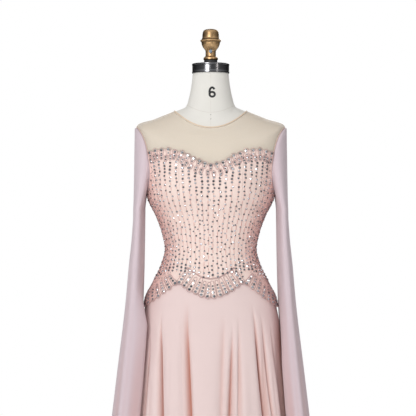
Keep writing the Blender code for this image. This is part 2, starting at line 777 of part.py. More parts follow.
def skirt_off(angle, z, out):
    e = 2e-3
    along = skirt_point(angle + e, z) - skirt_point(angle - e, z)
    down = skirt_point(angle, z - e) - skirt_point(angle, z + e)
    normal = unit(np.cross(down, along))
    return skirt_point(angle, z) + normal * out


SKIRT_Z = (0.900, 0.835, 0.745, 0.640, 0.545, 0.440, 0.325, 0.210, 0.110, HEM_Z)


def skirt_panel(name, start, end, columns, seam_start=None, seam_end=None, tuck=0.016):
    """A skirt panel between two angles. A seam function gives the edge's angle at a height."""
    f = np.linspace(0, 1, columns + 1)
    edge = HIP_LOBE[:-1] + HIP_WING
    points = []
    rows = []
    count = 0
    base = start + (end - start) * f
    z_top = np.full(columns + 1, 0.97)
    for _ in range(8):
        z_top = table_curve(edge, np.abs(skirt_point(base, z_top)[:, 0])) + tuck
    for j in range(len(SKIRT_Z) + 1):
        if j == 0:
            z = z_top
        elif j == 1:
            z = (z_top + SKIRT_Z[0]) / 2
        elif j == 2:
            z = np.full(columns + 1, SKIRT_Z[0] + 0.005)
        else:
            z = np.full(columns + 1, SKIRT_Z[j - 1])
        low = np.full(columns + 1, start) if seam_start is None else seam_start(z)
        high = np.full(columns + 1, end) if seam_end is None else seam_end(z)
        angle = low + (high - low) * f
        points.append(np.stack([angle, z], axis=-1))
        rows.append(list(range(count, count + columns + 1)))
        count += columns + 1
    place = np.concatenate(points)
    inner = skirt_off(place[:, 0], place[:, 1], 0.0)
    outer = skirt_off(place[:, 0], place[:, 1], SKIRT_WALL)
    return walled(name, outer, inner, lace(rows, outer), CHIFFON)


def skirt_side(z, behind):
    half, front, back, bend = skirt_rows(z)
    depth = back if behind else front
    turn = np.arccos((GAP / 2 / depth) ** (bend / 2))
    return HALF_TURN - turn if behind else turn


def skirt_centre_back(z):
    """Angle of the right back panel's edge, clear of the zip above and of the seam below."""
    half, front, back, bend = skirt_rows(z)
    clear = np.where(z >= ZIP_END_Z + 0.004, ZIP_HALF + GAP, GAP / 2)
    return HALF_TURN - np.arcsin((clear / half) ** (bend / 2))


def make_skirt():
    side = float(skirt_side(np.array(0.9), False))
    back = float(skirt_side(np.array(0.9), True))
    skirt_panel("skirt_front", -side, side, 44,
                lambda z: -skirt_side(z, False), lambda z: skirt_side(z, False))
    centre = float(skirt_centre_back(np.array(0.92)))
    skirt_panel("skirt_back_right", back, centre, 22,
                lambda z: skirt_side(z, True), skirt_centre_back)
    skirt_panel("skirt_back_left", 2 * HALF_TURN - centre, 2 * HALF_TURN - back, 22,
                lambda z: 2 * HALF_TURN - skirt_centre_back(z),
                lambda z: 2 * HALF_TURN - skirt_side(z, True))


def make_zip():
    """The closed strip in the centre back opening, from the bound neck edge to the hip."""
    z_neck = float(body_sizes(NECKLINE_RING)[5])
    z = np.concatenate([[z_neck], np.linspace(1.43, 0.94, 22), [0.92, ZIP_END_Z + 0.0053]])
    top = float(table_curve(BACK_TOP, 0.0))
    low = float(table_curve(HIP_LOBE, 0.0))
    rise = curve((low - 0.02, low - 0.002, top + 0.006, top + 0.03),
                 (0.0, 0.0018, 0.0018, 0.0), z)
    points = []
    for x in (-ZIP_HALF, ZIP_HALF):
        sign = 1 if x > 0 else -1
        upper = z > 0.945
        angle = body_angle(np.full(len(z), abs(x)), z, True)
        if sign < 0:
            angle = 2 * HALF_TURN - angle
        ring = body_ring(angle, z)
        on_body = body_off(angle, ring, np.zeros(len(z)))
        normal = body_normal(angle, ring)
        half, front, back, bend = skirt_rows(z)
        turn = HALF_TURN - sign * np.arcsin((ZIP_HALF / half) ** (bend / 2))
        on_skirt = skirt_point(turn, z)
        base = np.where(upper[:, None], on_body, on_skirt)
        points.append((base, normal))
    count = len(z)
    layers = []
    for extra in (0.0003, 0.0015):
        out = (rise + extra)[:, None]
        layers.append([base + normal * out for base, normal in points])
    outer = np.concatenate([layers[1][0], layers[1][1]])
    inner = np.concatenate([layers[0][0], layers[0][1]])
    rows = [[i + count, i] for i in range(count)]
    walled("back_zip", outer, inner, lace(rows, outer), ZIP)


def skirt_reach(z, side, y):
    """How far the skirt reaches sideways at height z near each y."""
    angle = np.linspace(0.1, HALF_TURN - 0.1, 200)
    point = skirt_point(side * angle, np.full(200, z))
    x = side * point[:, 0]
    reach = np.zeros(len(y))
    for i, value in enumerate(y):
        near = np.abs(point[:, 1] - value) < 0.014
        if near.any():
            reach[i] = x[near].max()
    return reach


def sleeve_section(z, side, turn):
    """The hanging sleeve's section at height z. Turn 0 is outside, 90 degrees the front."""
    inner = float(curve(column(SLEEVE, 0), column(SLEEVE, 1), z))
    outer = float(curve(column(SLEEVE, 0), column(SLEEVE, 2), z))
    deep = float(curve(column(SLEEVE, 0), column(SLEEVE, 3), z))
    c = np.cos(turn)
    s = np.sin(turn)
    y = -deep * power(s, 2 / 2.5)
    near = np.full(len(y), inner)
    if z < 1.0:
        near = np.maximum(near, skirt_reach(z, side, y) + SLEEVE_CLEAR)
    far = np.maximum(outer, near + SLEEVE_NARROWEST)
    middle = (near + far) / 2
    half = (far - near) / 2
    x = middle + half * power(c, 2 / 2.5)
    lean = unit(np.stack([c / 0.03, -s / deep], axis=-1))
    moved = np.zeros(len(y))
    for place, start, deep_knee, deep_hem, wide in SLEEVE_FOLDS:
        ease = min(max((start - z) / (start - 0.64), 0), 1)
        amount = deep_knee * ease
        if z < 0.64:
            amount = deep_knee + (deep_hem - deep_knee) * (0.64 - z) / (0.64 - SLEEVE_HEM_Z)
        away = (turn - math.radians(place) + HALF_TURN) % (2 * HALF_TURN) - HALF_TURN
        moved = moved - amount * np.exp(-(away / math.radians(wide)) ** 2)
    facing = np.clip((c + 0.9) / 0.6, 0, 1)
    moved = moved * facing
    x = x + lean[:, 0] * moved
    y = y + lean[:, 1] * moved
    return np.stack([side * x, y, np.full(len(y), z)], axis=-1)


SLEEVE_Z = (1.200, 1.130, 1.050, 0.960, 0.860, 0.750, 0.640, 0.500, 0.350, 0.220, SLEEVE_HEM_Z)


def armhole_start(side):
    """First ring of a sleeve, evenly spaced, just inside the armhole's edge, and its way out."""
    turn = np.linspace(0, 2 * HALF_TURN, 721)
    angle, ring = armhole(turn)
    point = body_point(angle, ring)
    run = np.concatenate([[0], np.cumsum(np.linalg.norm(np.diff(point, axis=0), axis=1))])
    even = np.interp(np.linspace(0, run[-1], SLEEVE_POINTS, endpoint=False), run, turn)
    angle, ring = armhole(even)
    point = body_point(angle, ring)
    normal = body_normal(angle, ring)
    before = body_point(*armhole(even - 0.01))
    after = body_point(*armhole(even + 0.01))
    along = unit(after - before)
    inward = np.cross(along, normal)
    centre = point.mean(axis=0)
    sign = np.sign(np.sum(inward * (centre - point), axis=1, keepdims=True))
    inward = unit(inward * sign)
    start = point + inward * SEAM_INSET + normal * 0.0006
    way = unit(np.stack([np.ones(len(even)), normal[:, 1] * 0.8, np.full(len(even), -0.30)],
                        axis=-1))
    mirror = np.array([side, 1.0, 1.0])
    return start * mirror, way * mirror, even


def sleeve_grid(side):
    start, way, turn = armhole_start(side)
    first = sleeve_section(SLEEVE_Z[0], side, turn)
    flange = start + way * 0.0055
    rows = [start, flange]
    for share in (0.16, 0.36, 0.60, 0.82):
        rows.append(flange + (first - flange) * share)
    for z in SLEEVE_Z:
        rows.append(sleeve_section(z, side, turn))
    return np.array(rows)


def grid_normals(grid):
    around = np.roll(grid, -1, axis=1) - np.roll(grid, 1, axis=1)
    down = np.gradient(grid, axis=0)
    return unit(np.cross(down, around))


def make_sleeve(name, side):
    grid = sleeve_grid(side)
    normal = grid_normals(grid)
    middle = grid.mean(axis=1, keepdims=True)
    if np.sum(normal * (grid - middle)) < 0:
        normal = -normal
    outer = (grid + normal * SLEEVE_WALL / 2).reshape(-1, 3)
    inner = (grid - normal * SLEEVE_WALL / 2).reshape(-1, 3)
    count = grid.shape[1]
    rows = [list(range(i * count, i * count + count)) + [i * count]
            for i in range(grid.shape[0])]
    faces = lace(rows, outer)
    a, b, c = [outer[i] for i in faces[40 * count // 2]]
    facing = np.cross(b - a, c - a)
    centre = outer.reshape(grid.shape).mean(axis=1)
    level = faces[40 * count // 2][0] // count
    if np.dot(facing, a - centre[level]) < 0:
        faces = [tuple(reversed(face)) for face in faces]
    return walled(name, outer, inner, faces, CHIFFON)


def make_form():
    """The whole closed torso and neck of the dress form."""
    count = 30
    rings = (0.0, 0.6, 1.2, 1.8, 2.4, 3.0, 3.5, 4.0, 4.5, 5.0, 5.5, 5.85, 6.1, 6.5, 7.1, 7.7, 8.2,
             8.8, 9.5, 10.2, 11.0, 11.6, 12.2, 12.8, 13.4, 14.2, 15.0, 16.0)
    angle = np.linspace(0, 2 * HALF_TURN, count, endpoint=False)
    points = []
    rows = []
    for ring in rings:
        inset = float(table_curve(FORM_INSET, ring))
        at = body_off(angle, np.full(count, ring), np.full(count, -inset))
        rows.append(list(range(len(points), len(points) + count)))
        points.extend(at)
    faces = []
    for upper, lower in zip(rows, rows[1:]):
        for i in range(count):
            k = (i + 1) % count
            faces.append((upper[i], lower[i], lower[k]))
            faces.append((upper[i], lower[k], upper[k]))
    for row, up in ((rows[0], True), (rows[-1], False)):
        height = np.mean([points[i][2] for i in row])
        for i in row:
            points[i] = np.array([points[i][0], points[i][1], height])
        points.append(np.array([0.0, 0.0, height]))
        hub = len(points) - 1
        for i in range(count):
            k = (i + 1) % count
            if up:
                faces.append((row[i], row[k], hub))
            else:
                faces.append((row[k], row[i], hub))
    solid("form_torso", points, faces, CANVAS)
    return float(points[rows[-1][0]][2])


def make_stand(form_low):
    turned("form_neck_cap", NECK_CAP, STEEL, 28)
    turned("form_washer", WASHER, RUBBER, 18)
    turned("form_finial", FINIAL, BRASS, 16)
    turned("form_finial_screw", SCREW, STEEL, 12, "-y", (0.0, 0.0, SCREW_Z))
    pole = ((0.0, BASE[-1][1] + GAP), (POLE_RADIUS, BASE[-1][1] + GAP),
            (POLE_RADIUS, form_low - GAP), (0.0, form_low - GAP))
    turned("form_pole", pole, POLE, 16)
    turned("form_base", BASE, IRON, 32)


make_bodice()
make_yoke()
make_binding()
make_skirt()
make_zip()
make_sleeve("sleeve_left", -1.0)
make_sleeve("sleeve_right", 1.0)
make_stand(make_form())
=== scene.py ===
"""Looks of the evening dress with a beaded bodice and cape sleeves, on its limbless dress form.

Metres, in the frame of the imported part: Z is up, the front faces -Y, +X is the right side of the
photo and the floor is Z = 0. Angles go round the body from the front centre (0) over the right
side (90 degrees) to the centre back (180 degrees). Left and right are as seen from the front.
"""
import math

import bpy
import numpy as np
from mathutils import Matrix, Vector


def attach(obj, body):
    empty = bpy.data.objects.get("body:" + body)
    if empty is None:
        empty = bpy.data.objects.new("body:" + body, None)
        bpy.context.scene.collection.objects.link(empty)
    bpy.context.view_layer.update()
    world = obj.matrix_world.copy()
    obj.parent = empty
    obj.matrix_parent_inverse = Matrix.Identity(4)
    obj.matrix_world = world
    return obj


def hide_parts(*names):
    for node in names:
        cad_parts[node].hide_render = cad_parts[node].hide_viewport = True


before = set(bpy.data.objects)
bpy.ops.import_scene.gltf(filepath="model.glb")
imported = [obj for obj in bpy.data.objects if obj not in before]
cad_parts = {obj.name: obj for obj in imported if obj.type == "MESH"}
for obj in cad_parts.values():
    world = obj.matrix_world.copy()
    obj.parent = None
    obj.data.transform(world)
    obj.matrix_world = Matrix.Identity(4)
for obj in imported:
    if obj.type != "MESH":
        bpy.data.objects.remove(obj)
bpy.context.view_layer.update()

GAP = 0.0003
FULL_TURN = 2 * math.pi
HALF_TURN = math.pi
QUARTER_TURN = math.pi / 2
SEED = 7
SIDES = (("left", -1.0), ("right", 1.0))

# The camera is level and looks along +Y. The photo is square.
CAMERA_AT = (-0.0073, -4.0, 1.2007)
PHOTO_WIDTH = 1.1232

HEM_Z = 0.022
# The height of the knee, where the tables of folds give their middle values.
KNEE_Z = 0.64
SLEEVE_HEM_Z = 0.105
YOKE_INNER = 0.0003
YOKE_OUTER = 0.0013
BODICE_INNER = 0.0026
BODICE_OUTER = 0.0040
SKIRT_OUT = -0.0006
SKIRT_WALL = 0.0010
SLEEVE_WALL = 0.0012

# The rings of the body under the cloth, from the neck down. Each ring has its own height at the
# side, at the front and at the back, so the rings run over the shoulders as a yoke does.
# Columns: half width, height at the side, front depth, height at the front, back depth,
# height at the back, power of the ring's curve.
BODY = (
    (0.0490, 1.5635, 0.0490, 1.5635, 0.0490, 1.5635, 2.00),
    (0.0530, 1.5300, 0.0515, 1.5270, 0.0525, 1.5330, 2.00),
    (0.0595, 1.4980, 0.0570, 1.4840, 0.0590, 1.5050, 2.00),
    (0.0670, 1.4755, 0.0680, 1.4500, 0.0690, 1.4850, 2.00),
    (0.0995, 1.4600, 0.0830, 1.4115, 0.0860, 1.4520, 2.05),
    (0.1490, 1.4400, 0.0980, 1.3850, 0.1020, 1.4180, 2.15),
    (0.1985, 1.4190, 0.1090, 1.3520, 0.1100, 1.3780, 2.25),
    (0.1860, 1.3300, 0.1160, 1.3000, 0.1120, 1.3080, 2.30),
    (0.1690, 1.2360, 0.1150, 1.2360, 0.1030, 1.2360, 2.30),
    (0.1430, 1.1800, 0.1010, 1.1800, 0.0940, 1.1800, 2.25),
    (0.1270, 1.1350, 0.0925, 1.1350, 0.0870, 1.1350, 2.20),
    (0.1187, 1.0900, 0.0885, 1.0900, 0.0855, 1.0900, 2.20),
    (0.1300, 1.0450, 0.0915, 1.0450, 0.0940, 1.0450, 2.20),
    (0.1520, 1.0000, 0.0985, 1.0000, 0.1080, 1.0000, 2.20),
    (0.1730, 0.9550, 0.1060, 0.9550, 0.1190, 0.9550, 2.20),
    (0.1790, 0.9100, 0.1090, 0.9100, 0.1220, 0.9100, 2.20),
    (0.1740, 0.8400, 0.1060, 0.8400, 0.1150, 0.8400, 2.20),
)
# How far the dress form lies inside the rings. Columns: ring number, distance.
FORM_INSET = ((0.0, 0.0008), (3.6, 0.0010), (4.4, 0.0026), (5.3, 0.0050), (6.5, 0.0050),
              (7.4, 0.0026), (16.0, 0.0026))
NECKLINE_RING = 4.0
TIP_RING = 6.0
PIT_RING = 8.0
LAST_RING = 16.0
MIDDLE_RING = (TIP_RING + PIT_RING) / 2

# The soft fullness that the princess seams give the front.
# Columns: distance from the centre, height, width, tall, outward.
FULLNESS = (0.080, 1.262, 0.052, 0.052, 0.0130)

# The armhole is a rounded loop in ring and angle.
# Columns: front and back reach in degrees, power above and below the middle.
ARMHOLE = (32.0, 30.0, 2.9, 2.1)

# Edges, symmetric about the centre. Columns: distance from the centre, height.
SWEETHEART = (
    (0.000, 1.3085), (0.015, 1.3100), (0.030, 1.3165), (0.045, 1.3240), (0.060, 1.3325),
    (0.080, 1.3430), (0.100, 1.3490), (0.120, 1.3495), (0.145, 1.3480), (0.165, 1.3410),
    (0.200, 1.3380),
)
BACK_TOP = ((0.000, 1.2960), (0.060, 1.3000), (0.120, 1.3160), (0.165, 1.3330), (0.200, 1.3360))
HIP_LOBE = (
    (0.000, 0.9680), (0.023, 0.9715), (0.041, 0.9790), (0.056, 0.9870), (0.069, 0.9965),
    (0.0875, 1.0090),
)
HIP_WING = (
    (0.0875, 1.0090), (0.095, 1.0000), (0.108, 0.9890), (0.119, 0.9806), (0.134, 0.9700),
    (0.148, 0.9590), (0.164, 0.9474), (0.178, 0.9390), (0.200, 0.9370),
)
HIP_EDGE = HIP_LOBE[:-1] + HIP_WING
PRINCESS = ((0.93, 0.0900), (1.01, 0.0875), (1.09, 0.0780), (1.20, 0.0800), (1.36, 0.0860))
SCALLOP_RISE = 0.0055
HIP_SCALLOP_FALL = 0.0045
# How round the scallops are, and the share of a panel's length that they shape.
SCALLOP_ROUND = 0.6
SCALLOP_DEPTH = 0.05
ZIP_HALF = 0.0030
ZIP_END_Z = 0.900
# Below this height the zip lies on the skirt.
ZIP_ON_SKIRT_Z = 0.945
# How far the zip rises with the bodice, and the depth and half width of its middle groove.
ZIP_RISE = 0.0018
ZIP_GROOVE = (0.0005, 0.0008)
# The outer and inner side of its tape.
ZIP_DEPTHS = (0.0015, 0.0003)
COIL_STEP = 0.0016
COIL_OUT = 0.0014
COIL_SIZE = (0.00085, 0.00060, 0.00050)
# The pull: length, half width at its top and at its widest, and half thickness.
PULL = (0.018, 0.0005, 0.0024, 0.0007)
SIDEWAYS, BACKWARD, UPWARD = np.eye(3)

# The skirt's own sections below the hip. Columns: height, half width, front depth, back depth.
SKIRT = (
    (0.900, 0.1830, 0.1150, 0.1270),
    (0.800, 0.1910, 0.1290, 0.1400),
    (0.640, 0.2060, 0.1560, 0.1680),
    (0.400, 0.2370, 0.2050, 0.2200),
    (0.022, 0.2850, 0.2680, 0.2850),
)

# The skirt's folds. Each is a valley that opens downward between round crests.
# Columns: angle at the hip, at the knee and at the hem, height where it starts,
# depth at the knee, depth at the hem, width on its lower angle side, width on the other side.
SKIRT_FOLDS = (
    (-104.0, -104.0, -104.0, 0.890, 0.006, 0.012, 6.0, 6.0),
    (-77.0, -77.0, -77.0, 0.860, 0.004, 0.008, 5.0, 5.0),
    (-58.2, -58.8, -58.0, 0.862, 0.010, 0.020, 5.0, 6.0),
    (-45.0, -37.2, -35.0, 0.915, 0.014, 0.028, 5.5, 5.5),
    (-27.0, -24.0, -23.0, 0.800, 0.002, 0.010, 5.0, 5.0),
    (-18.5, -12.6, -11.0, 0.966, 0.011, 0.025, 7.5, 3.2),
    (8.0, 5.6, 3.0, 0.940, 0.005, 0.012, 4.0, 4.0),
    (16.5, 13.0, 16.0, 0.895, 0.009, 0.022, 4.0, 5.0),
    (31.0, 29.0, 30.0, 0.930, 0.003, 0.014, 6.0, 6.0),
    (43.5, 44.4, 45.0, 0.920, 0.014, 0.028, 5.5, 4.5),
    (66.0, 65.5, 66.0, 0.880, 0.007, 0.011, 5.0, 5.0),
    (106.0, 106.0, 106.0, 0.890, 0.006, 0.012, 6.0, 6.0),
    (126.0, 128.0, 129.0, 0.900, 0.010, 0.024, 6.0, 5.0),
    (147.0, 149.0, 150.0, 0.905, 0.012, 0.026, 5.0, 6.0),
    (169.0, 168.0, 168.0, 0.870, 0.008, 0.020, 5.0, 4.0),
    (193.0, 191.0, 190.0, 0.890, 0.010, 0.024, 4.5, 5.5),
    (213.0, 211.0, 210.0, 0.905, 0.011, 0.026, 6.0, 5.0),
    (235.0, 232.0, 231.0, 0.900, 0.010, 0.022, 5.0, 6.0),
)
# Small soft creases that the solids leave out. Same columns.
SKIRT_CREASES = (
    (-18.6, -12.6, -11.0, 0.966, 0.0085, 0.0130, 3.4, 0.8),
    (-44.9, -37.2, -34.8, 0.930, 0.0120, 0.0170, 1.5, 1.7),
    (-41.0, -32.4, -30.0, 0.905, 0.0025, 0.0060, 1.2, 2.6),
    (-57.6, -58.4, -57.6, 0.870, 0.0070, 0.0110, 1.1, 1.9),
    (-24.0, -18.8, -17.6, 0.950, 0.0022, 0.0050, 2.4, 1.4),
    (9.4, 6.4, 4.0, 0.935, 0.0042, 0.0080, 2.8, 1.8),
    (16.6, 12.6, 15.2, 0.905, 0.0085, 0.0130, 1.9, 0.9),
    (21.6, 18.4, 20.0, 0.930, 0.0045, 0.0080, 0.8, 2.4),
    (36.5, 42.4, 43.2, 0.955, 0.0110, 0.0160, 2.2, 1.2),
    (44.8, 50.4, 51.4, 0.930, 0.0070, 0.0110, 0.9, 2.4),
    (57.0, 63.0, 64.0, 0.900, 0.0050, 0.0090, 1.2, 2.6),
    (126.0, 128.2, 129.2, 0.895, 0.0080, 0.0130, 2.0, 1.2),
    (147.0, 149.2, 150.2, 0.900, 0.0100, 0.0150, 1.2, 2.2),
    (169.0, 168.2, 168.2, 0.865, 0.0070, 0.0110, 1.8, 1.0),
    (193.0, 191.2, 190.2, 0.885, 0.0080, 0.0130, 1.0, 2.0),
    (213.0, 211.2, 210.2, 0.900, 0.0090, 0.0140, 2.2, 1.1),
    (235.0, 232.2, 231.2, 0.895, 0.0080, 0.0120, 1.1, 2.0),
    (-68.0, -67.0, -66.0, 0.800, 0.0020, 0.0045, 2.4, 2.4),
    (-52.0, -48.5, -47.0, 0.760, 0.0018, 0.0050, 2.0, 2.6),
    (-33.0, -30.5, -29.5, 0.860, 0.0016, 0.0040, 2.2, 2.0),
    (-4.0, -3.0, -4.0, 0.720, 0.0008, 0.0045, 2.6, 2.6),
    (22.0, 21.5, 22.5, 0.840, 0.0016, 0.0045, 2.0, 2.2),
    (38.0, 37.0, 37.5, 0.830, 0.0016, 0.0040, 2.2, 2.2),
    (54.0, 55.0, 55.5, 0.800, 0.0020, 0.0050, 2.2, 2.6),
    (76.0, 76.0, 76.0, 0.740, 0.0014, 0.0040, 2.4, 2.4),
    (116.0, 117.0, 117.0, 0.780, 0.0020, 0.0050, 2.2, 2.6),
    (137.0, 138.5, 139.0, 0.820, 0.0018, 0.0045, 2.2, 2.2),
    (158.0, 158.5, 159.0, 0.790, 0.0018, 0.0050, 2.4, 2.0),
    (202.0, 201.0, 200.0, 0.800, 0.0018, 0.0045, 2.0, 2.4),
    (224.0, 222.0, 221.0, 0.830, 0.0020, 0.0050, 2.4, 2.2),
    (246.0, 245.0, 244.0, 0.780, 0.0016, 0.0045, 2.2, 2.4),
)

# A fold's shape across: how far its crests stand out as a share of its depth, how pointed its
# valley is, and how many of its widths it reaches.
FOLD_CREST = 0.30
FOLD_POWER = 1.7
FOLD_SPREAD = 5

# The hanging part of a sleeve. Columns: height, inner side, outer side, half depth.
SLEEVE = (
    (1.200, 0.1775, 0.2060, 0.088),
    (1.120, 0.1785, 0.2115, 0.096),
    (1.050, 0.1797, 0.2190, 0.101),
    (0.950, 0.1830, 0.2285, 0.107),
    (0.870, 0.1875, 0.2380, 0.112),
    (0.820, 0.1905, 0.2445, 0.115),
    (0.640, 0.2030, 0.2670, 0.127),
    (0.400, 0.2240, 0.2960, 0.141),
    (0.105, 0.2520, 0.3310, 0.156),
)
# The sleeve's folds. Columns: angle round the sleeve from its outer side to its front in degrees,
# height where it starts, depth at the knee, depth at the hem, width in degrees.
SLEEVE_FOLDS = (
    (118.0, 1.000, 0.0050, 0.0090, 14.0),
    (62.0, 1.150, 0.0040, 0.0110, 15.0),
    (20.0, 1.050, 0.0030, 0.0090, 14.0),
    (-22.0, 1.100, 0.0040, 0.0110, 14.0),
    (-62.0, 1.000, 0.0040, 0.0110, 15.0),
    (-118.0, 1.000, 0.0050, 0.0090, 14.0),
)
SLEEVE_CREASES = (
    (92.0, 1.090, 0.0014, 0.0030, 5.0),
    (44.0, 0.960, 0.0012, 0.0028, 5.0),
    (2.0, 1.120, 0.0012, 0.0030, 5.0),
    (-40.0, 0.980, 0.0013, 0.0030, 5.0),
    (-90.0, 1.060, 0.0014, 0.0030, 5.0),
)
SLEEVE_NARROWEST = 0.030
# How the front inner corner of each sleeve laps over the skirt, left then right.
# Columns: how far, height where it starts, height over which it grows.
SLEEVE_LAP = (
    (0.0250, 0.990, 0.100),
    (0.0110, 0.930, 0.140),
)
# Where round the sleeve that corner lies, and how wide it is.
LAP_TURN = math.radians(130.0)
LAP_WIDE = math.radians(25.0)
SLEEVE_POWER = 2.5
# The half width that the sleeve's folds take their direction from.
SLEEVE_ROUND = 0.03
# How much of the deep colour the sleeve's inner side takes as painted shade and painted light thrown
# back from the skirt, in metres of fold depth, the height where that starts and the height over which
# it grows.
SLEEVE_INNER_SHADE = (0.004, 1.10, 0.3)
SLEEVE_CLEAR = 0.0042
SEAM_INSET = 0.0024
SLEEVE_TOP_Z = 1.200
SLEEVE_FLANGE = 0.0055

# Turned parts of the stand. Columns: radius, height.
NECK_CAP = (
    (0.0000, 1.5638), (0.0496, 1.5638), (0.0503, 1.5645), (0.0503, 1.5680), (0.0497, 1.5700),
    (0.0497, 1.5850), (0.0505, 1.5862), (0.0505, 1.5888), (0.0496, 1.5898), (0.0350, 1.5908),
    (0.0000, 1.5915),
)
WASHER = ((0.0000, 1.5918), (0.0172, 1.5918), (0.0180, 1.5926), (0.0180, 1.5987),
          (0.0172, 1.5995), (0.0000, 1.5995))
FINIAL = (
    (0.0000, 1.5998), (0.0190, 1.5998), (0.0195, 1.6010), (0.0195, 1.6055), (0.0165, 1.6085),
    (0.0142, 1.6105), (0.0140, 1.6130), (0.0140, 1.6235), (0.0150, 1.6265), (0.0178, 1.6300),
    (0.0215, 1.6350), (0.0243, 1.6420), (0.0250, 1.6468), (0.0262, 1.6495), (0.0284, 1.6512),
    (0.0284, 1.6525), (0.0262, 1.6545), (0.0240, 1.6570), (0.0226, 1.6605), (0.0226, 1.6635),
    (0.0223, 1.6690), (0.0214, 1.6748), (0.0194, 1.6792), (0.0150, 1.6822), (0.0070, 1.6837),
    (0.0000, 1.6840),
)
# Patina and painted shade darken the finial in its grooves and on its dome. Columns: height, half
# width, share of the dark colour.
PATINA_AND_SHADE = (
    (1.6005, 0.0022, 0.95),
    (1.6098, 0.0014, 0.95),
    (1.6485, 0.0013, 0.90),
    (1.6565, 0.0022, 1.00),
    (1.6700, 0.0110, 0.55),
    (1.6840, 0.0052, 0.85),
)
SCREW_Z = 1.6220
SCREW_SHANK = ((0.0000, 0.0150), (0.0030, 0.0150), (0.0030, 0.0166), (0.0047, 0.0166),
               (0.0048, 0.0168), (0.0048, 0.0184), (0.0000, 0.0184))
# The domed head. Columns: share of its radius, height.
SCREW_DOME = ((1.0, 0.0184), (1.0, 0.0190), (0.86, 0.0197), (0.6, 0.0200), (0.0, 0.0201))
SCREW_SEAT = 0.0183
SCREW_REACH = 0.0048
SCREW_SLOT = 0.0013
SCREW_SLOT_TURN = math.radians(38.0)
POLE_RADIUS = 0.016
# The pole's collar. Columns: radius, height over the base.
COLLAR = ((0.0, 0.0), (0.0230, 0.0), (0.0230, 0.012), (0.0205, 0.016), (POLE_RADIUS, 0.018))
BASE = ((0.0000, 0.0000), (0.2100, 0.0000), (0.2120, 0.0020), (0.2120, 0.0140),
        (0.2114, 0.0160), (0.2080, 0.0180), (0.0220, 0.0180), (0.0000, 0.0180))

# The size number on the neck: middle, height, width and stroke.
NUMBER_AT = (0.0038, 1.5098)
NUMBER_TALL = 0.0300
NUMBER_WIDE = 0.0195
NUMBER_STROKE = 0.0054
NECK_SEAM_RING = 2.85
PIN_RINGS = (3.03, 3.33, 5.65)
PIN_SIZE = (0.0010, 0.0012, 0.0007)
# Metres of the form's cloth to each radian round it.
FORM_AROUND = 0.11
FORM_COLUMNS = 120


# Steps of the searches by halving and by settling, and the small step that gives a direction.
HALVINGS = 26
SETTLINGS = 12
CORNER_SETTLINGS = 20
NUDGE = 1e-3

# Small helpers for curves and vectors.

def column(table, number):
    return np.array([row[number] for row in table], float)


def prepared(knots, values):
    """A smooth curve through the knots that doesn't overshoot them, as a function."""
    knots = np.asarray(knots, float)
    values = np.asarray(values, float)
    if knots[0] > knots[-1]:
        knots = knots[::-1]
        values = values[::-1]
    step = np.diff(knots)
    slope = np.diff(values) / step
    tangent = np.zeros(len(knots))
    tangent[0] = slope[0]
    tangent[-1] = slope[-1]
    for i in range(1, len(knots) - 1):
        if slope[i - 1] * slope[i] > 0:
            before = 2 * step[i] + step[i - 1]
            after = step[i] + 2 * step[i - 1]
            tangent[i] = (before + after) / (before / slope[i - 1] + after / slope[i])

    def read(at):
        at = np.clip(np.asarray(at, float), knots[0], knots[-1])
        i = np.clip(np.searchsorted(knots, at, side="right") - 1, 0, len(step) - 1)
        s = (at - knots[i]) / step[i]
        t = 1 - s
        return (
            (values[i] * (1 + 2 * s) + tangent[i] * step[i] * s) * t * t
            + (values[i + 1] * (3 - 2 * s) - tangent[i + 1] * step[i] * t) * s * s
        )

    return read


TABLE_CURVES = {}


def table_curve(table, at):
    if table not in TABLE_CURVES:
        TABLE_CURVES[table] = prepared(column(table, 0), column(table, 1))
    return TABLE_CURVES[table](at)


def power(base, exponent):
    return np.sign(base) * np.abs(base) ** exponent


def unit(vectors):
    return vectors / np.maximum(np.linalg.norm(vectors, axis=-1, keepdims=True), 1e-12)


def stack(angle, ring):
    angle, ring = np.broadcast_arrays(np.asarray(angle, float), np.asarray(ring, float))
    return np.stack([angle, ring], axis=-1)


def eased(share):
    """A share kept between 0 and 1 that starts and ends gently."""
    share = np.clip(share, 0, 1)
    return share * share * (3 - 2 * share)


def run_along(points):
    """Distance from the first point to each point of a line."""
    step = np.linalg.norm(np.diff(points, axis=0), axis=1)
    return np.concatenate([[0], np.cumsum(step)])


# The body under the cloth.

BODY_CURVES = [prepared(np.arange(len(BODY), dtype=float), column(BODY, n)) for n in range(7)]


def body_sizes(ring):
    return [read(ring) for read in BODY_CURVES]


def body_height(angle, ring):
    c = np.cos(angle)
    end = np.where(c >= 0, BODY_CURVES[3](ring), BODY_CURVES[5](ring))
    return BODY_CURVES[1](ring) * (1 - c * c) + end * c * c


def body_point(angle, ring):
    """The point of the body under the cloth at an angle and a ring number."""
    angle = np.asarray(angle, float)
    half, z_side, front, z_front, back, z_back, bend = body_sizes(ring)
    s = np.sin(angle)
    c = np.cos(angle)
    depth = np.where(c >= 0, front, back)
    z_end = np.where(c >= 0, z_front, z_back)
    x = half * power(s, 2 / bend)
    y = -depth * power(c, 2 / bend)
    z = z_side * s * s + z_end * c * c
    off_x, mid_z, wide, tall, out = FULLNESS
    bump = out * np.exp(-((np.abs(x) - off_x) / wide) ** 2 - ((z - mid_z) / tall) ** 2)
    y = y - bump * np.clip(c, 0, 1) ** 0.5
    return np.stack([x, y, z], axis=-1)


def body_steps(angle, ring):
    """Two nudges along the body at a place, one in angle and one in ring."""
    along = body_point(angle + NUDGE, ring) - body_point(angle - NUDGE, ring)
    down = body_point(angle, ring + NUDGE) - body_point(angle, ring - NUDGE)
    return along, down


def body_normal(angle, ring):
    along, down = body_steps(angle, ring)
    return unit(np.cross(down, along))


def body_off(angle, ring, out):
    out = np.broadcast_to(np.asarray(out, float), np.shape(angle))[..., None]
    return body_point(angle, ring) + body_normal(angle, ring) * out


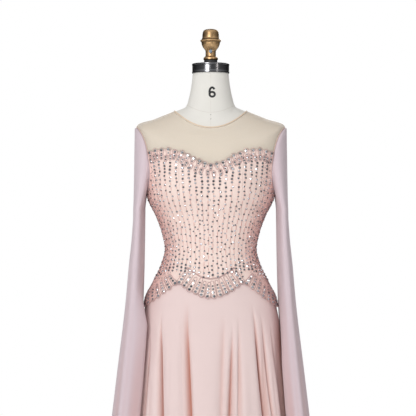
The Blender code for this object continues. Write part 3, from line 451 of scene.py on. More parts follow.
def body_ring(angle, z):
    """The ring number where the body has height z at this angle."""
    angle, z = np.broadcast_arrays(np.asarray(angle, float), np.asarray(z, float))
    low = np.full(angle.shape, 3.0)
    high = np.full(angle.shape, LAST_RING)
    for _ in range(HALVINGS):
        middle = (low + high) / 2
        above = body_height(angle, middle) > z
        low = np.where(above, middle, low)
        high = np.where(above, high, middle)
    return (low + high) / 2


def body_angle(x, z, behind=False):
    """The angle where the body has the side distance x at height z."""
    x, z = np.broadcast_arrays(np.asarray(x, float), np.asarray(z, float))
    angle = np.full(x.shape, 0.5)
    if behind:
        angle = HALF_TURN - angle
    for _ in range(SETTLINGS):
        sizes = body_sizes(body_ring(angle, z))
        share = np.clip(np.abs(x) / sizes[0], 0, 1)
        turn = np.arcsin(share ** (sizes[6] / 2)) * np.sign(x)
        angle = HALF_TURN - turn if behind else turn
    return angle


def side_angle(ring, behind=False):
    """The angle of a side seam's edge, half a gap away from the widest line."""
    sizes = body_sizes(ring)
    depth = sizes[4] if behind else sizes[2]
    turn = np.arccos((GAP / 2 / depth) ** (sizes[6] / 2))
    return HALF_TURN - turn if behind else turn


def armhole(turn):
    """Angle and ring on the armhole loop. Turn 0 is the shoulder tip, 180 degrees the armpit."""
    turn = np.asarray(turn, float)
    ring = MIDDLE_RING - (PIT_RING - TIP_RING) / 2 * np.cos(turn)
    bend = np.where(np.cos(turn) > 0, ARMHOLE[2], ARMHOLE[3])
    wide = np.clip(1 - np.abs(np.cos(turn)) ** bend, 0, 1) ** (1 / bend)
    side = np.where(np.sin(turn) >= 0, -math.radians(ARMHOLE[0]), math.radians(ARMHOLE[1]))
    return QUARTER_TURN + side * wide, ring


def in_armhole(angle, ring, spare=0.07):
    """True where a place on the right half lies in the armhole or within the spare angle of it."""
    level = np.clip(np.abs(ring - MIDDLE_RING), 0, 1)
    bend = np.where(ring < MIDDLE_RING, ARMHOLE[2], ARMHOLE[3])
    wide = (1 - level ** bend) ** (1 / bend)
    reach = np.radians(np.where(angle < QUARTER_TURN, ARMHOLE[0], ARMHOLE[1]))
    away = np.abs(angle - QUARTER_TURN)
    return (ring > TIP_RING) & (ring < PIT_RING + 0.12) & (away < reach * wide + spare)


# Lines on the body, as rows of angle and ring.

def edge_line(edge, start, end, count=160):
    """Angle and ring along an edge that is given as height over the distance from the centre."""
    angle = np.linspace(start, end, count)
    z = np.full(count, 1.2)
    for _ in range(SETTLINGS):
        ring = body_ring(angle, z)
        z = table_curve(edge, np.abs(body_point(angle, ring)[:, 0]))
    return stack(angle, body_ring(angle, z))


def body_line(x, z, behind=False):
    """Angle and ring at side distances x and heights z."""
    angle = body_angle(x, z, behind)
    return stack(angle, body_ring(angle, z))


def seam_line(z_start, z_end, count=120):
    """Angle and ring down the princess seam's edge on the right."""
    z = np.linspace(z_start, z_end, count)
    return body_line(table_curve(PRINCESS, z), z)


def seam_corner(edge):
    """Height where the princess seam meets an edge."""
    z = 1.2
    for _ in range(CORNER_SETTLINGS):
        z = float(table_curve(edge, table_curve(PRINCESS, z)))
    return z


def measured(points, place):
    """A function of 0 to 1 that runs evenly along a line of surface coordinates."""
    points = np.asarray(points, float)
    run = run_along(place(points[:, 0], points[:, 1]))
    run = run / run[-1]

    def line(share):
        share = np.asarray(share, float)
        return np.stack([np.interp(share, run, points[:, 0]),
                         np.interp(share, run, points[:, 1])], axis=-1)

    return line


def patch(top, bottom, left, right, f, g):
    """Surface coordinates inside four edges, at shares f along and g down."""
    f = np.asarray(f, float)
    g = float(g)
    across = f[:, None]
    point = (1 - g) * top(f) + g * bottom(f)
    point = point + (1 - across) * left(g) + across * right(g)
    corner = (1 - g) * (1 - across) * top(0.0) + (1 - g) * across * top(1.0)
    corner = corner + g * (1 - across) * bottom(0.0) + g * across * bottom(1.0)
    return point - corner


def lower_armhole(corner_ring, behind):
    """Armhole edge from where a panel's top meets it down to the armpit."""
    turn = np.linspace(math.acos(MIDDLE_RING - corner_ring), HALF_TURN, 90)
    return stack(*armhole(FULL_TURN - turn if behind else turn))


def armhole_corner(edge, behind):
    """Angle and ring where an edge meets the armhole."""
    low = 0.1
    high = HALF_TURN - 0.05
    for _ in range(40):
        middle = (low + high) / 2
        angle, ring = armhole(FULL_TURN - middle if behind else middle)
        point = body_point(angle, ring)
        if point[2] > table_curve(edge, abs(point[0])):
            low = middle
        else:
            high = middle
    return float(angle), float(ring)


def side_line(first, last, behind, count=60):
    """Angle and ring down the edge of a side or shoulder seam, between two rings."""
    ring = np.linspace(first, last, count)
    return stack(side_angle(ring, behind), ring)


def side_ring(edge):
    """Ring where an edge meets the side seam."""
    z = 0.95
    for _ in range(CORNER_SETTLINGS):
        z = float(table_curve(edge, body_sizes(body_ring(QUARTER_TURN, z))[0]))
    return float(body_ring(QUARTER_TURN, z))


def shifted(line, distance):
    """A line moved sideways by a small distance in x along the body."""
    point = body_point(line[:, 0], line[:, 1])
    behind = np.cos(line[:, 0]).mean() < 0
    return body_line(point[:, 0] + distance, point[:, 2], behind)


def back_line(z_start, z_end, count=90):
    """Angle and ring down the right back panels' edge beside the zip."""
    z = np.linspace(z_start, z_end, count)
    return body_line(np.full(count, ZIP_HALF + GAP), z, True)


# Node materials.

def new_look(name):
    look = bpy.data.materials.new(name)
    look.use_nodes = True
    return look, look.node_tree, look.node_tree.nodes["Principled BSDF"]


def add_node(tree, kind, inputs=(), **settings):
    node = tree.nodes.new(kind)
    for key, value in settings.items():
        setattr(node, key, value)
    for key, value in dict(inputs).items():
        if isinstance(value, bpy.types.NodeSocket):
            tree.links.new(value, node.inputs[key])
        else:
            node.inputs[key].default_value = value
    return node


def rgb(colour):
    return (*colour, 1.0)


def noise(tree, place, scale, detail=3.0, rough=0.5):
    return add_node(tree, "ShaderNodeTexNoise",
                    {"Vector": place, "Scale": scale, "Detail": detail, "Roughness": rough})


def stretched(tree, place, scale):
    return add_node(tree, "ShaderNodeMapping", {"Vector": place, "Scale": scale}).outputs[0]


def mixed(tree, share, first, second, way="MIX"):
    return add_node(tree, "ShaderNodeMixRGB",
                    {"Fac": share, "Color1": first, "Color2": second}, blend_type=way).outputs[0]


def ramp(tree, value, low, high, start=0.0, end=1.0):
    node = add_node(tree, "ShaderNodeMapRange",
                    {"Value": value, "From Min": start, "From Max": end, "To Min": low,
                     "To Max": high})
    return node.outputs[0]


def sums(tree, way, first, second):
    return add_node(tree, "ShaderNodeMath", {0: first, 1: second}, operation=way).outputs[0]


def set_sockets(shader, values):
    for key, value in values.items():
        shader.inputs[key].default_value = value


def bumped(tree, shader, height, depth, strength=1.0):
    bump = add_node(tree, "ShaderNodeBump",
                    {"Height": height, "Distance": depth, "Strength": strength})
    tree.links.new(bump.outputs[0], shader.inputs["Normal"])


def object_place(tree):
    return add_node(tree, "ShaderNodeTexCoord").outputs["Object"]


def cloth_place(tree):
    return add_node(tree, "ShaderNodeTexCoord").outputs["UV"]


def spot_value(tree, name):
    return add_node(tree, "ShaderNodeAttribute", attribute_name=name).outputs["Fac"]


def weave(tree, place, period):
    """Over and under threads, high on each thread, from cloth coordinates in metres."""
    turns = 1.0 / period / 20.0
    waves = []
    for way in ("X", "Y"):
        wave = add_node(tree, "ShaderNodeTexWave",
                        {"Vector": place, "Scale": turns * FULL_TURN, "Distortion": 0.6,
                         "Detail": 1.0, "Detail Scale": 1.5}, bands_direction=way)
        waves.append(wave.outputs["Fac"])
    return sums(tree, "MAXIMUM", *waves)


def chiffon_look(name, lit, deep, sheen):
    """Blush chiffon with crepe threads, and painted shade: warmer and darker where the fold attribute
    is high.
    """
    look, tree, shader = new_look(name)
    place = object_place(tree)
    cloth = cloth_place(tree)
    painted_fold_shade = spot_value(tree, "fold")
    patches = noise(tree, place, 9.0, 4.0)
    # The deep colour is painted shade, mixed in by the fold attribute.
    colour = mixed(tree, painted_fold_shade, rgb(lit), rgb(deep))
    cloudy = mixed(tree, 0.35, colour, ramp(tree, patches.outputs["Fac"], 0.93, 1.04), "MULTIPLY")
    threads = weave(tree, cloth, 0.0009)
    tinted = mixed(tree, 0.25, cloudy, ramp(tree, threads, 0.90, 1.02), "MULTIPLY")
    tree.links.new(tinted, shader.inputs["Base Color"])
    crepe = noise(tree, place, 900.0, 2.0)
    height = sums(tree, "ADD", threads, crepe.outputs["Fac"])
    bumped(tree, shader, height, 0.00012, 0.5)
    rough = ramp(tree, patches.outputs["Fac"], 0.72, 0.86)
    tree.links.new(rough, shader.inputs["Roughness"])
    set_sockets(shader, {"Sheen Weight": sheen, "Sheen Roughness": 0.45,
                         "Sheen Tint": rgb((1.0, 0.93, 0.92)), "Specular IOR Level": 0.25})
    return look


def netting_look(name, colour, shade, alpha, cell, depth):
    """Fine net: round holes between twisted threads, see-through where alpha is below 1."""
    look, tree, shader = new_look(name)
    place = object_place(tree)
    holes = add_node(tree, "ShaderNodeTexVoronoi", {"Vector": place, "Scale": 1.0 / cell})
    patches = noise(tree, place, 22.0, 3.0)
    blush = sums(tree, "ADD", spot_value(tree, "fold"),
                 ramp(tree, patches.outputs["Fac"], -0.12, 0.16, 0.3, 0.7))
    mottled = mixed(tree, blush, rgb(colour), rgb(shade))
    threads = ramp(tree, holes.outputs["Distance"], 0.90, 1.02, 0.0, 0.6)
    netted = mixed(tree, 0.6, mottled, threads, "MULTIPLY")
    tree.links.new(netted, shader.inputs["Base Color"])
    bumped(tree, shader, holes.outputs["Distance"], depth, 0.6)
    set_sockets(shader, {"Roughness": 0.82, "Alpha": alpha, "Specular IOR Level": 0.2,
                         "Sheen Weight": 0.15})
    return look


def bead_look(name, dark, light, roughness, metallic, coat):
    """Glass or foiled beads whose tone differs from one to the next."""
    look, tree, shader = new_look(name)
    tone = spot_value(tree, "tone")
    place = object_place(tree)
    stain = noise(tree, place, 60.0, 2.0)
    colour = mixed(tree, tone, rgb(dark), rgb(light))
    varied = mixed(tree, 0.5, colour, ramp(tree, stain.outputs["Fac"], 0.82, 1.12), "MULTIPLY")
    tree.links.new(varied, shader.inputs["Base Color"])
    grain = noise(tree, place, 2200.0, 2.0)
    bumped(tree, shader, grain.outputs["Fac"], 0.00004, 0.3)
    set_sockets(shader, {"Roughness": roughness, "Metallic": metallic, "Coat Weight": coat,
                         "Coat Roughness": 0.08})
    return look


def metal_look(name, colour, stain_colour, roughness, stain_scale, scratch, depth):
    """Metal with turning marks round its axis and a patchy stain, heaviest where tone is high. On the
    finial the tone is partly painted shade.
    """
    look, tree, shader = new_look(name)
    place = object_place(tree)
    stain = noise(tree, place, stain_scale, 5.0, 0.6)
    share = ramp(tree, stain.outputs["Fac"], 0.0, 0.25, 0.42, 0.72)
    share = sums(tree, "MAXIMUM", share, spot_value(tree, "tone"))
    tree.links.new(mixed(tree, share, rgb(colour), rgb(stain_colour)), shader.inputs["Base Color"])
    marks = noise(tree, stretched(tree, place, scratch), 1.0, 4.0)
    bumped(tree, shader, marks.outputs["Fac"], depth, 0.5)
    rough = ramp(tree, stain.outputs["Fac"], roughness, roughness * 1.8, 0.35, 0.75)
    tree.links.new(rough, shader.inputs["Roughness"])
    set_sockets(shader, {"Metallic": 1.0})
    return look


def matt_look(name, colour, shade, roughness, grain, depth, period=0.0):
    """Paint, rubber or canvas: a grain in colour and bump, and threads where a period is given."""
    look, tree, shader = new_look(name)
    place = object_place(tree)
    broad = noise(tree, place, 14.0, 4.0)
    fine = noise(tree, place, grain, 3.0)
    share = ramp(tree, broad.outputs["Fac"], 0.0, 1.0, 0.3, 0.7)
    colours = mixed(tree, share, rgb(colour), rgb(shade))
    height = fine.outputs["Fac"]
    if period:
        threads = weave(tree, cloth_place(tree), period)
        colours = mixed(tree, 0.3, colours, ramp(tree, threads, 0.86, 1.03), "MULTIPLY")
        height = sums(tree, "ADD", threads, height)
    tree.links.new(colours, shader.inputs["Base Color"])
    bumped(tree, shader, height, depth, 0.6)
    rough = ramp(tree, fine.outputs["Fac"], roughness - 0.06, roughness + 0.06)
    tree.links.new(rough, shader.inputs["Roughness"])
    return look


# The deep colour of each chiffon is painted shade for its folds, creases and shaded sides.
SKIRT_LOOK = chiffon_look("blush_chiffon", (0.84, 0.675, 0.65), (0.60, 0.27, 0.20), 0.25)
SLEEVE_LOOK = chiffon_look("sleeve_chiffon", (0.71, 0.59, 0.63), (0.66, 0.40, 0.37), 0.28)
YOKE_LOOK = netting_look("illusion_net", (0.96, 0.86, 0.735), (0.94, 0.83, 0.70), 0.40, 0.0011,
                         0.0001)
BODICE_LOOK = netting_look("bodice_net", (0.94, 0.76, 0.69), (0.90, 0.60, 0.54), 1.0, 0.0016,
                           0.0002)
BINDING_LOOK = matt_look("bound_net", (0.86, 0.70, 0.54), (0.82, 0.65, 0.49), 0.8, 900.0, 0.0001,
                         0.0008)
PIPING_LOOK = matt_look("armhole_piping", (0.80, 0.60, 0.50), (0.74, 0.54, 0.45), 0.8, 900.0, 0.0001,
                        0.0008)
SEED_LOOK = bead_look("seed_beads", (0.72, 0.36, 0.31), (0.90, 0.62, 0.56), 0.30, 0.0, 0.4)
RING_LOOK = bead_look("petal_beads", (0.52, 0.33, 0.32), (0.84, 0.62, 0.60), 0.26, 0.0, 0.6)
CRYSTAL_LOOK = bead_look("foiled_crystals", (0.22, 0.23, 0.25), (0.90, 0.92, 0.96), 0.05, 0.95, 0.3)
ZIP_LOOK = matt_look("zip_tape", (0.76, 0.58, 0.50), (0.70, 0.52, 0.45), 0.75, 800.0, 0.0001, 0.0010)
ZIP_METAL = metal_look("zip_pull_metal", (0.80, 0.72, 0.68), (0.60, 0.50, 0.46), 0.22, 90.0,
                       (300.0, 300.0, 900.0), 0.00005)
CANVAS_LOOK = matt_look("form_canvas", (0.89, 0.865, 0.81), (0.86, 0.835, 0.775), 0.88, 420.0, 0.0003,
                        0.0010)
THREAD_LOOK = matt_look("form_thread", (0.80, 0.76, 0.70), (0.76, 0.72, 0.66), 0.85, 900.0, 0.0002)
INK_LOOK = matt_look("size_number_ink", (0.008, 0.008, 0.009), (0.03, 0.03, 0.032), 0.6, 700.0,
                     0.0001)
STEEL_LOOK = metal_look("polished_steel", (0.24, 0.24, 0.25), (0.21, 0.21, 0.22), 0.16, 40.0,
                        (60.0, 60.0, 2400.0), 0.000001)
SCREW_LOOK = metal_look("screw_steel", (0.30, 0.36, 0.43), (0.24, 0.29, 0.35), 0.42, 40.0,
                        (60.0, 60.0, 2400.0), 0.000001)
BRASS_LOOK = metal_look("aged_brass", (0.74, 0.485, 0.25), (0.11, 0.06, 0.027), 0.33, 45.0,
                        (60.0, 60.0, 1400.0), 0.000003)
RUBBER_LOOK = matt_look("black_rubber", (0.015, 0.015, 0.016), (0.03, 0.03, 0.03), 0.62, 600.0,
                        0.0001)
POLE_LOOK = metal_look("pole_steel", (0.60, 0.60, 0.60), (0.45, 0.45, 0.46), 0.25, 20.0,
                       (900.0, 900.0, 30.0), 0.00005)
IRON_LOOK = matt_look("base_enamel", (0.035, 0.035, 0.038), (0.055, 0.053, 0.05), 0.42, 260.0, 0.0004)
FLOOR_LOOK = matt_look("pale_floor", (0.90, 0.90, 0.90), (0.87, 0.87, 0.87), 0.8, 30.0, 0.0005)


# Meshes.

def mesh_from(name, points, faces, look, smooth=True, spots=(), uv=None):
    """A mesh object from points and faces that all have the same number of corners."""
    points = np.asarray(points, float).reshape(-1, 3)
    faces = np.asarray(faces, int)
    mesh = bpy.data.meshes.new(name)
    mesh.vertices.add(len(points))
    mesh.vertices.foreach_set("co", points.ravel())
    mesh.loops.add(faces.size)
    mesh.loops.foreach_set("vertex_index", faces.ravel())
    mesh.polygons.add(len(faces))
    mesh.polygons.foreach_set("loop_start", np.arange(0, faces.size, faces.shape[1]))
    mesh.polygons.foreach_set("use_smooth", np.full(len(faces), smooth))
    mesh.update(calc_edges=True)
    for key, values in dict(spots).items():
        mesh.attributes.new(key, "FLOAT", "POINT").data.foreach_set("value", values)
    if uv is not None:
        layer = mesh.uv_layers.new(name="cloth")
        corners = np.asarray(uv, float).reshape(-1, 2)[faces.ravel()]
        layer.data.foreach_set("uv", corners.ravel())
    mesh.materials.append(look)
    made = bpy.data.objects.new(name, mesh)
    bpy.context.scene.collection.objects.link(made)
    return made


def placed(made, slot, *nodes):
    """Lets a piece ride on the part and hides the solids it stands for. Its slot is not used."""
    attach(made, "root")
    if nodes:
        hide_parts(*nodes)
    return made


def grid_faces(rows, columns, wrap):
    """Quads of a grid of point numbers."""
    row = np.arange(rows - 1)[:, None]
    col = np.arange(columns if wrap else columns - 1)[None, :]
    after = (col + 1) % columns
    corners = (row * columns + col, (row + 1) * columns + col,
               (row + 1) * columns + after, row * columns + after)
    return np.stack([np.broadcast_to(c, (rows - 1, col.shape[1])) for c in corners], -1).reshape(-1, 4)


def edge_loop(rows, columns, wrap):
    """Numbers of the grid's border points, in order, as closed loops."""
    top = np.arange(columns)
    low = (rows - 1) * columns + np.arange(columns)
    if wrap:
        return [top[::-1], low]
    left = np.arange(rows) * columns
    right = left + columns - 1
    return [np.concatenate([left[:-1], low[:-1], right[::-1][:-1], top[::-1][:-1]])]


def cloth_uv(grid):
    """Cloth coordinates in metres along the rows and down the columns of a grid."""
    across = np.linalg.norm(np.diff(grid, axis=1), axis=2)
    down = np.linalg.norm(np.diff(grid, axis=0), axis=2)
    u = np.concatenate([np.zeros((grid.shape[0], 1)), np.cumsum(across, axis=1)], axis=1)
    v = np.concatenate([np.zeros((1, grid.shape[1])), np.cumsum(down, axis=0)], axis=0)
    u = u - u[:, [u.shape[1] // 2]]
    return np.stack([u, v], axis=-1).reshape(-1, 2)


def line_points(line):
    return body_point(line[:, 0], line[:, 1])


def shell(name, outer, inner, look, wrap=False, fold=None):
    """A closed thin wall between two grids of points."""
    rows, columns = outer.shape[:2]
    count = rows * columns
    faces = grid_faces(rows, columns, wrap)
    every = [faces, faces[:, ::-1] + count]
    for loop in edge_loop(rows, columns, wrap):
        after = np.roll(loop, -1)
        every.append(np.stack([after, loop, loop + count, after + count], axis=-1))
    every = np.concatenate(every)
    points = np.concatenate([outer.reshape(-1, 3), inner.reshape(-1, 3)])
    corner = points[every]
    lift = np.einsum("ij,ij->i", corner[:, 0], np.cross(corner[:, 1], corner[:, 2]))
    lift = lift + np.einsum("ij,ij->i", corner[:, 0], np.cross(corner[:, 2], corner[:, 3]))
    if lift.sum() < 0:
        every = every[:, ::-1]
    uv = cloth_uv(outer)
    shade = np.zeros(count) if fold is None else np.clip(fold, 0, 1).ravel()
    return mesh_from(name, points, every, look, True, {"fold": np.concatenate([shade, shade])},
                     np.concatenate([uv, uv]))


def panel_grid(edges, columns, rows, scallops=(0, 0), knots=((0, 1), (0, 1))):
    """Angle and ring over a panel with four edges. Scallops are lobes on the top and bottom."""
    top, bottom, left, right = [measured(edge, body_point) for edge in edges]
    f = np.interp(np.linspace(0, 1, columns + 1), knots[0], knots[1])
    place = np.array([patch(top, bottom, left, right, f, g) for g in np.linspace(0, 1, rows + 1)])
    depth = np.linspace(0, 1, rows + 1)[:, None]
    z = body_point(place[..., 0], place[..., 1])[..., 2]
    shift = np.zeros(z.shape)
    for count, rise, far in zip(scallops, (SCALLOP_RISE, -HIP_SCALLOP_FALL), (depth, 1 - depth)):
        if count:
            lobes = np.abs(np.sin(HALF_TURN * f * count)) ** SCALLOP_ROUND
            shift = shift + rise * lobes * np.clip(1 - far / SCALLOP_DEPTH, 0, 1)
    moved = np.abs(shift) > 0
    ring = np.where(moved, body_ring(place[..., 0], z + shift), place[..., 1])
    return place[..., 0], ring


# How far from the side seam the bodice's pink is full, and where it has gone.
BLUSH_FULL = math.radians(15.0)
BLUSH_NONE = math.radians(62.0)


sheets = []


def body_panel(name, look, slot, grid, depths, kind, flip=False):
    """A panel that follows the body, kept with its kind of cut."""
    angle, ring = grid
    if flip:
        angle = -angle
    inner = body_off(angle, ring, depths[0])
    outer = body_off(angle, ring, depths[1])
    from_side = np.abs(np.abs(angle) - QUARTER_TURN)
    blush = eased(1 - (from_side - BLUSH_FULL) / (BLUSH_NONE - BLUSH_FULL))
    sheets.append((placed(shell(name, outer, inner, look, fold=blush), slot, name), kind))


def panel_pair(name, look, slot, grid, depths, kind):
    """A right panel and its mirror image on the left."""
    for hand, side in SIDES:
        body_panel(name + "_" + hand, look, slot, grid, depths, kind, side < 0)


# The bodice and the yoke.

BODICE_DEPTHS = (BODICE_INNER, BODICE_OUTER)
YOKE_DEPTHS = (YOKE_INNER, YOKE_OUTER)
# How far the yoke runs down under the bodice.
YOKE_TUCK = 0.017
SHOULDER_COUNT = 40
# Cells of the panels' grids, across and down, and scallops on the top and on the low edge.
CENTRE_CELLS, CENTRE_SCALLOPS = (144, 72), (12, 12)
SIDE_CELLS, SIDE_SCALLOPS = (80, 72), (4, 8)
BACK_CELLS, BACK_SCALLOPS = (96, 72), (6, 12)
YOKE_CELLS = (104, 30)
YOKE_BACK_CELLS = (52, 30)
# Share of the front yoke's columns that lie under one shoulder seam.
YOKE_SHOULDER = 6 / 26
# The bound neck edge: middle above the neckline and out from it, half thickness and half height.
BINDING = (0.0026, 0.0015, 0.0011, 0.0016)
PIPING_OUT = 0.0018
PIPING_HALF = 0.0009
PIPING_SIDES = 10
# Turns a line of angles and rings on the right side over to the left.
MIRROR = np.array([-1.0, 1.0])


def make_bodice():
    z_top = seam_corner(SWEETHEART)
    z_low = seam_corner(HIP_LOBE)
    seam = seam_line(z_top, z_low)
    inside = shifted(seam, -GAP / 2)
    outside = shifted(seam, GAP / 2)
    mirrored = inside * MIRROR
    top = edge_line(SWEETHEART, mirrored[0, 0], inside[0, 0])
    bottom = edge_line(HIP_LOBE, mirrored[-1, 0], inside[-1, 0])
    grid = panel_grid((top, bottom, mirrored, inside), *CENTRE_CELLS, CENTRE_SCALLOPS)
    body_panel("bodice_centre_front", BODICE_LOOK, "bodice_centre", grid, BODICE_DEPTHS, "centre")

    angle, ring = armhole_corner(SWEETHEART, False)
    low_ring = side_ring(HIP_WING)
    right = np.concatenate([lower_armhole(ring, False), side_line(PIT_RING, low_ring, False)[1:]])
    top = edge_line(SWEETHEART, outside[0, 0], angle)
    bottom = edge_line(HIP_WING, outside[-1, 0], right[-1, 0])
    grid = panel_grid((top, bottom, outside, right), *SIDE_CELLS, SIDE_SCALLOPS)
    panel_pair("bodice_side_front", BODICE_LOOK, "bodice_side", grid, BODICE_DEPTHS, "side")

    angle, ring = armhole_corner(BACK_TOP, True)
    left = np.concatenate([lower_armhole(ring, True), side_line(PIT_RING, low_ring, True)[1:]])
    centre = back_line(float(table_curve(BACK_TOP, ZIP_HALF + GAP)),
                       float(table_curve(HIP_LOBE, ZIP_HALF + GAP)))
    top = edge_line(BACK_TOP, angle, centre[0, 0])
    bottom = edge_line(HIP_EDGE, left[-1, 0], centre[-1, 0])
    grid = panel_grid((top, bottom, left, centre), *BACK_CELLS, BACK_SCALLOPS)
    panel_pair("bodice_back", BODICE_LOOK, "bodice_back", grid, BODICE_DEPTHS, "back")


def tucked(edge):
    """The yoke's lower edge, a tuck below an edge of the bodice."""
    return tuple((x, z - YOKE_TUCK + SCALLOP_RISE) for x, z in edge)


def shoulder_share(top):
    """Share of a yoke's top edge that its first shoulder seam takes."""
    run = run_along(line_points(top))
    return run[SHOULDER_COUNT - 1] / run[-1]


def make_yoke():
    under = tucked(SWEETHEART)
    angle, ring = armhole_corner(under, False)
    right = stack(*armhole(np.linspace(0.02, math.acos(MIDDLE_RING - ring), 60)))
    left = right * MIRROR
    seam = side_line(NECKLINE_RING, TIP_RING, False, SHOULDER_COUNT)
    seam[-1] = right[0]
    neck = seam[0, 0]
    top = np.concatenate([seam[::-1] * MIRROR,
                          stack(np.linspace(-neck, neck, 80), np.full(80, NECKLINE_RING)),
                          seam])
    share = shoulder_share(top)
    bottom = edge_line(under, -angle, angle)
    knots = ((0, YOKE_SHOULDER, 1 - YOKE_SHOULDER, 1), (0, share, 1 - share, 1))
    grid = panel_grid((top, bottom, left, right), *YOKE_CELLS, knots=knots)
    body_panel("yoke_front", YOKE_LOOK, "yoke", grid, YOKE_DEPTHS, "yoke_front")

    under = tucked(BACK_TOP)
    angle, ring = armhole_corner(under, True)
    turn = FULL_TURN - np.linspace(0.02, math.acos(MIDDLE_RING - ring), 60)
    left = stack(*armhole(turn))
    seam = side_line(NECKLINE_RING, TIP_RING, True, SHOULDER_COUNT)
    seam[-1] = left[0]
    z_neck = body_sizes(NECKLINE_RING)[5]
    centre = back_line(float(z_neck), float(table_curve(under, ZIP_HALF + GAP)))
    centre[0, 1] = NECKLINE_RING
    top = np.concatenate([seam[::-1],
                          stack(np.linspace(seam[0, 0], centre[0, 0], 60),
                                np.full(60, NECKLINE_RING))])
    knots = ((0, 2 * YOKE_SHOULDER, 1), (0, shoulder_share(top), 1))
    bottom = edge_line(under, angle, centre[-1, 0])
    grid = panel_grid((top, bottom, left, centre), *YOKE_BACK_CELLS, knots=knots)
    panel_pair("yoke_back", YOKE_LOOK, "yoke", grid, YOKE_DEPTHS, "yoke_back")


def tube(name, centres, across, up, half_wide, half_tall, look, sides=12, squareness=0.7):
    """A closed tube along a line, with a rounded section in the two given directions."""
    turn = np.linspace(0, FULL_TURN, sides, endpoint=False)
    a = power(np.cos(turn), squareness)[None, :, None] * half_wide
    b = power(np.sin(turn), squareness)[None, :, None] * half_tall
    rings = centres[:, None, :] + across[:, None, :] * a + up[:, None, :] * b
    count = len(centres)
    first = rings[0].mean(axis=0)[None, None, :]
    last = rings[-1].mean(axis=0)[None, None, :]
    rings = np.concatenate([np.broadcast_to(first, (1, sides, 3)), rings,
                            np.broadcast_to(last, (1, sides, 3))])
    faces = grid_faces(count + 2, sides, True)
    uv = np.stack(np.broadcast_arrays(np.arange(count + 2)[:, None] * 0.002,
                                      np.arange(sides)[None, :] * 0.0005), axis=-1)
    return mesh_from(name, rings, faces, look, True, {"fold": np.zeros((count + 2) * sides)}, uv)


def make_binding():
    """The bound neck edge: a folded strip over the yoke's top edge, open at the back."""
    count = 180
    end = float(body_angle(GAP / 2, float(body_sizes(NECKLINE_RING)[5]), True))
    angle = np.linspace(-end, end, count + 1)
    ring = np.full(count + 1, NECKLINE_RING)
    low = body_off(angle, ring, 0.0)
    up = unit(body_off(angle, ring - 0.05, 0.0) - low)
    out = body_normal(angle, ring)
    centres = low + up * BINDING[0] + out * BINDING[1]
    made = tube("neck_binding", centres, out, up, *BINDING[2:], BINDING_LOOK)
    placed(made, "binding", "neck_binding")


def make_armhole_seam(name, side):
    """The narrow piping that finishes the yoke and bodice round an armhole."""
    turn = np.linspace(0, FULL_TURN, 181)[:-1]
    angle, ring = armhole(turn)
    out = body_normal(angle, ring)
    centres = body_point(angle, ring) + out * PIPING_OUT
    along = unit(np.roll(centres, -1, axis=0) - np.roll(centres, 1, axis=0))
    across = np.cross(along, out)
    spin = np.linspace(0, FULL_TURN, PIPING_SIDES, endpoint=False)
    grid = centres[:, None, :] + across[:, None, :] * np.cos(spin)[None, :, None] * PIPING_HALF
    grid = grid + out[:, None, :] * np.sin(spin)[None, :, None] * PIPING_HALF
    grid = np.concatenate([grid, grid[:1]]) * np.array([side, 1.0, 1.0])
    count = len(grid)
    faces = grid_faces(count, PIPING_SIDES, True)
    last = (count - 1) * PIPING_SIDES
    faces = np.where(faces >= last, faces - last, faces)
    if side < 0:
        faces = faces[:, ::-1]
    points = grid[:-1].reshape(-1, 3)
    uv = np.stack([points[:, 2], points[:, 1]], axis=-1)
    placed(mesh_from(name, points, faces, PIPING_LOOK, True, (), uv), "sleeve")


# The skirt.

def skirt_table():
    knots = [1.04, 1.02, 1.00, 0.98, 0.955, 0.93]
    rows = []
    for z in knots:
        sizes = body_sizes(body_ring(QUARTER_TURN, z))
        rows.append([float(sizes[n]) + SKIRT_OUT for n in (0, 2, 4)] + [2.20])
    for row in SKIRT:
        knots.append(row[0])
        rows.append([row[1], row[2], row[3], 2.20 - 0.15 * (0.90 - row[0])])
    rows = np.array(rows)
    return [prepared(knots, rows[:, number]) for number in range(4)]


SKIRT_CURVES = skirt_table()


def skirt_sizes(z):
    """Half width, front depth, back depth and power of the skirt's section."""
    return [read(z) for read in SKIRT_CURVES]


def fold_reach(z, ease, deep_knee, deep_hem, hem_z):
    """How deep a fold is at height z. It eases in down to the knee and changes down to the hem."""
    lower = deep_knee + (deep_hem - deep_knee) * (KNEE_Z - z) / (KNEE_Z - hem_z)
    return np.where(z > KNEE_Z, deep_knee * ease, lower)


def fold_depth(angle, z, folds):
    """How far folds move the skirt outward, negative in a valley."""
    moved = np.zeros(np.broadcast(angle, z).shape)
    for row in folds:
        hip, knee, hem, start, deep_knee, deep_hem, low_side, high_side = row[:8]
        haste = row[8] if len(row) > 8 else 1.0
        middle = np.radians(np.interp(z, (HEM_Z, KNEE_Z, start), (hem, knee, hip)))
        ease = eased((start - z) / (start - KNEE_Z) * haste)
        deep = fold_reach(z, ease, deep_knee, deep_hem, HEM_Z)
        away = (angle - middle + HALF_TURN) % FULL_TURN - HALF_TURN
        wide = np.radians(np.where(away < 0, low_side, high_side))
        u = np.abs(away) / wide
        across = FOLD_CREST - (1 + FOLD_CREST) * np.exp(-(u ** FOLD_POWER))
        moved = moved + deep * across * np.exp(-((u / FOLD_SPREAD) ** 4))
    return moved


def skirt_point(angle, z, folds=SKIRT_FOLDS):
    angle, z = np.broadcast_arrays(np.asarray(angle, float), np.asarray(z, float))
    half, front, back, bend = skirt_sizes(z)
    s = np.sin(angle)
    c = np.cos(angle)
    depth = np.where(c >= 0, front, back)
    x = half * power(s, 2 / bend)
    y = -depth * power(c, 2 / bend)
    lean = unit(np.stack([x / half ** 2, y / depth ** 2], axis=-1))
    moved = fold_depth(angle, z, folds)
    return np.stack([x + lean[..., 0] * moved, y + lean[..., 1] * moved, z], axis=-1)


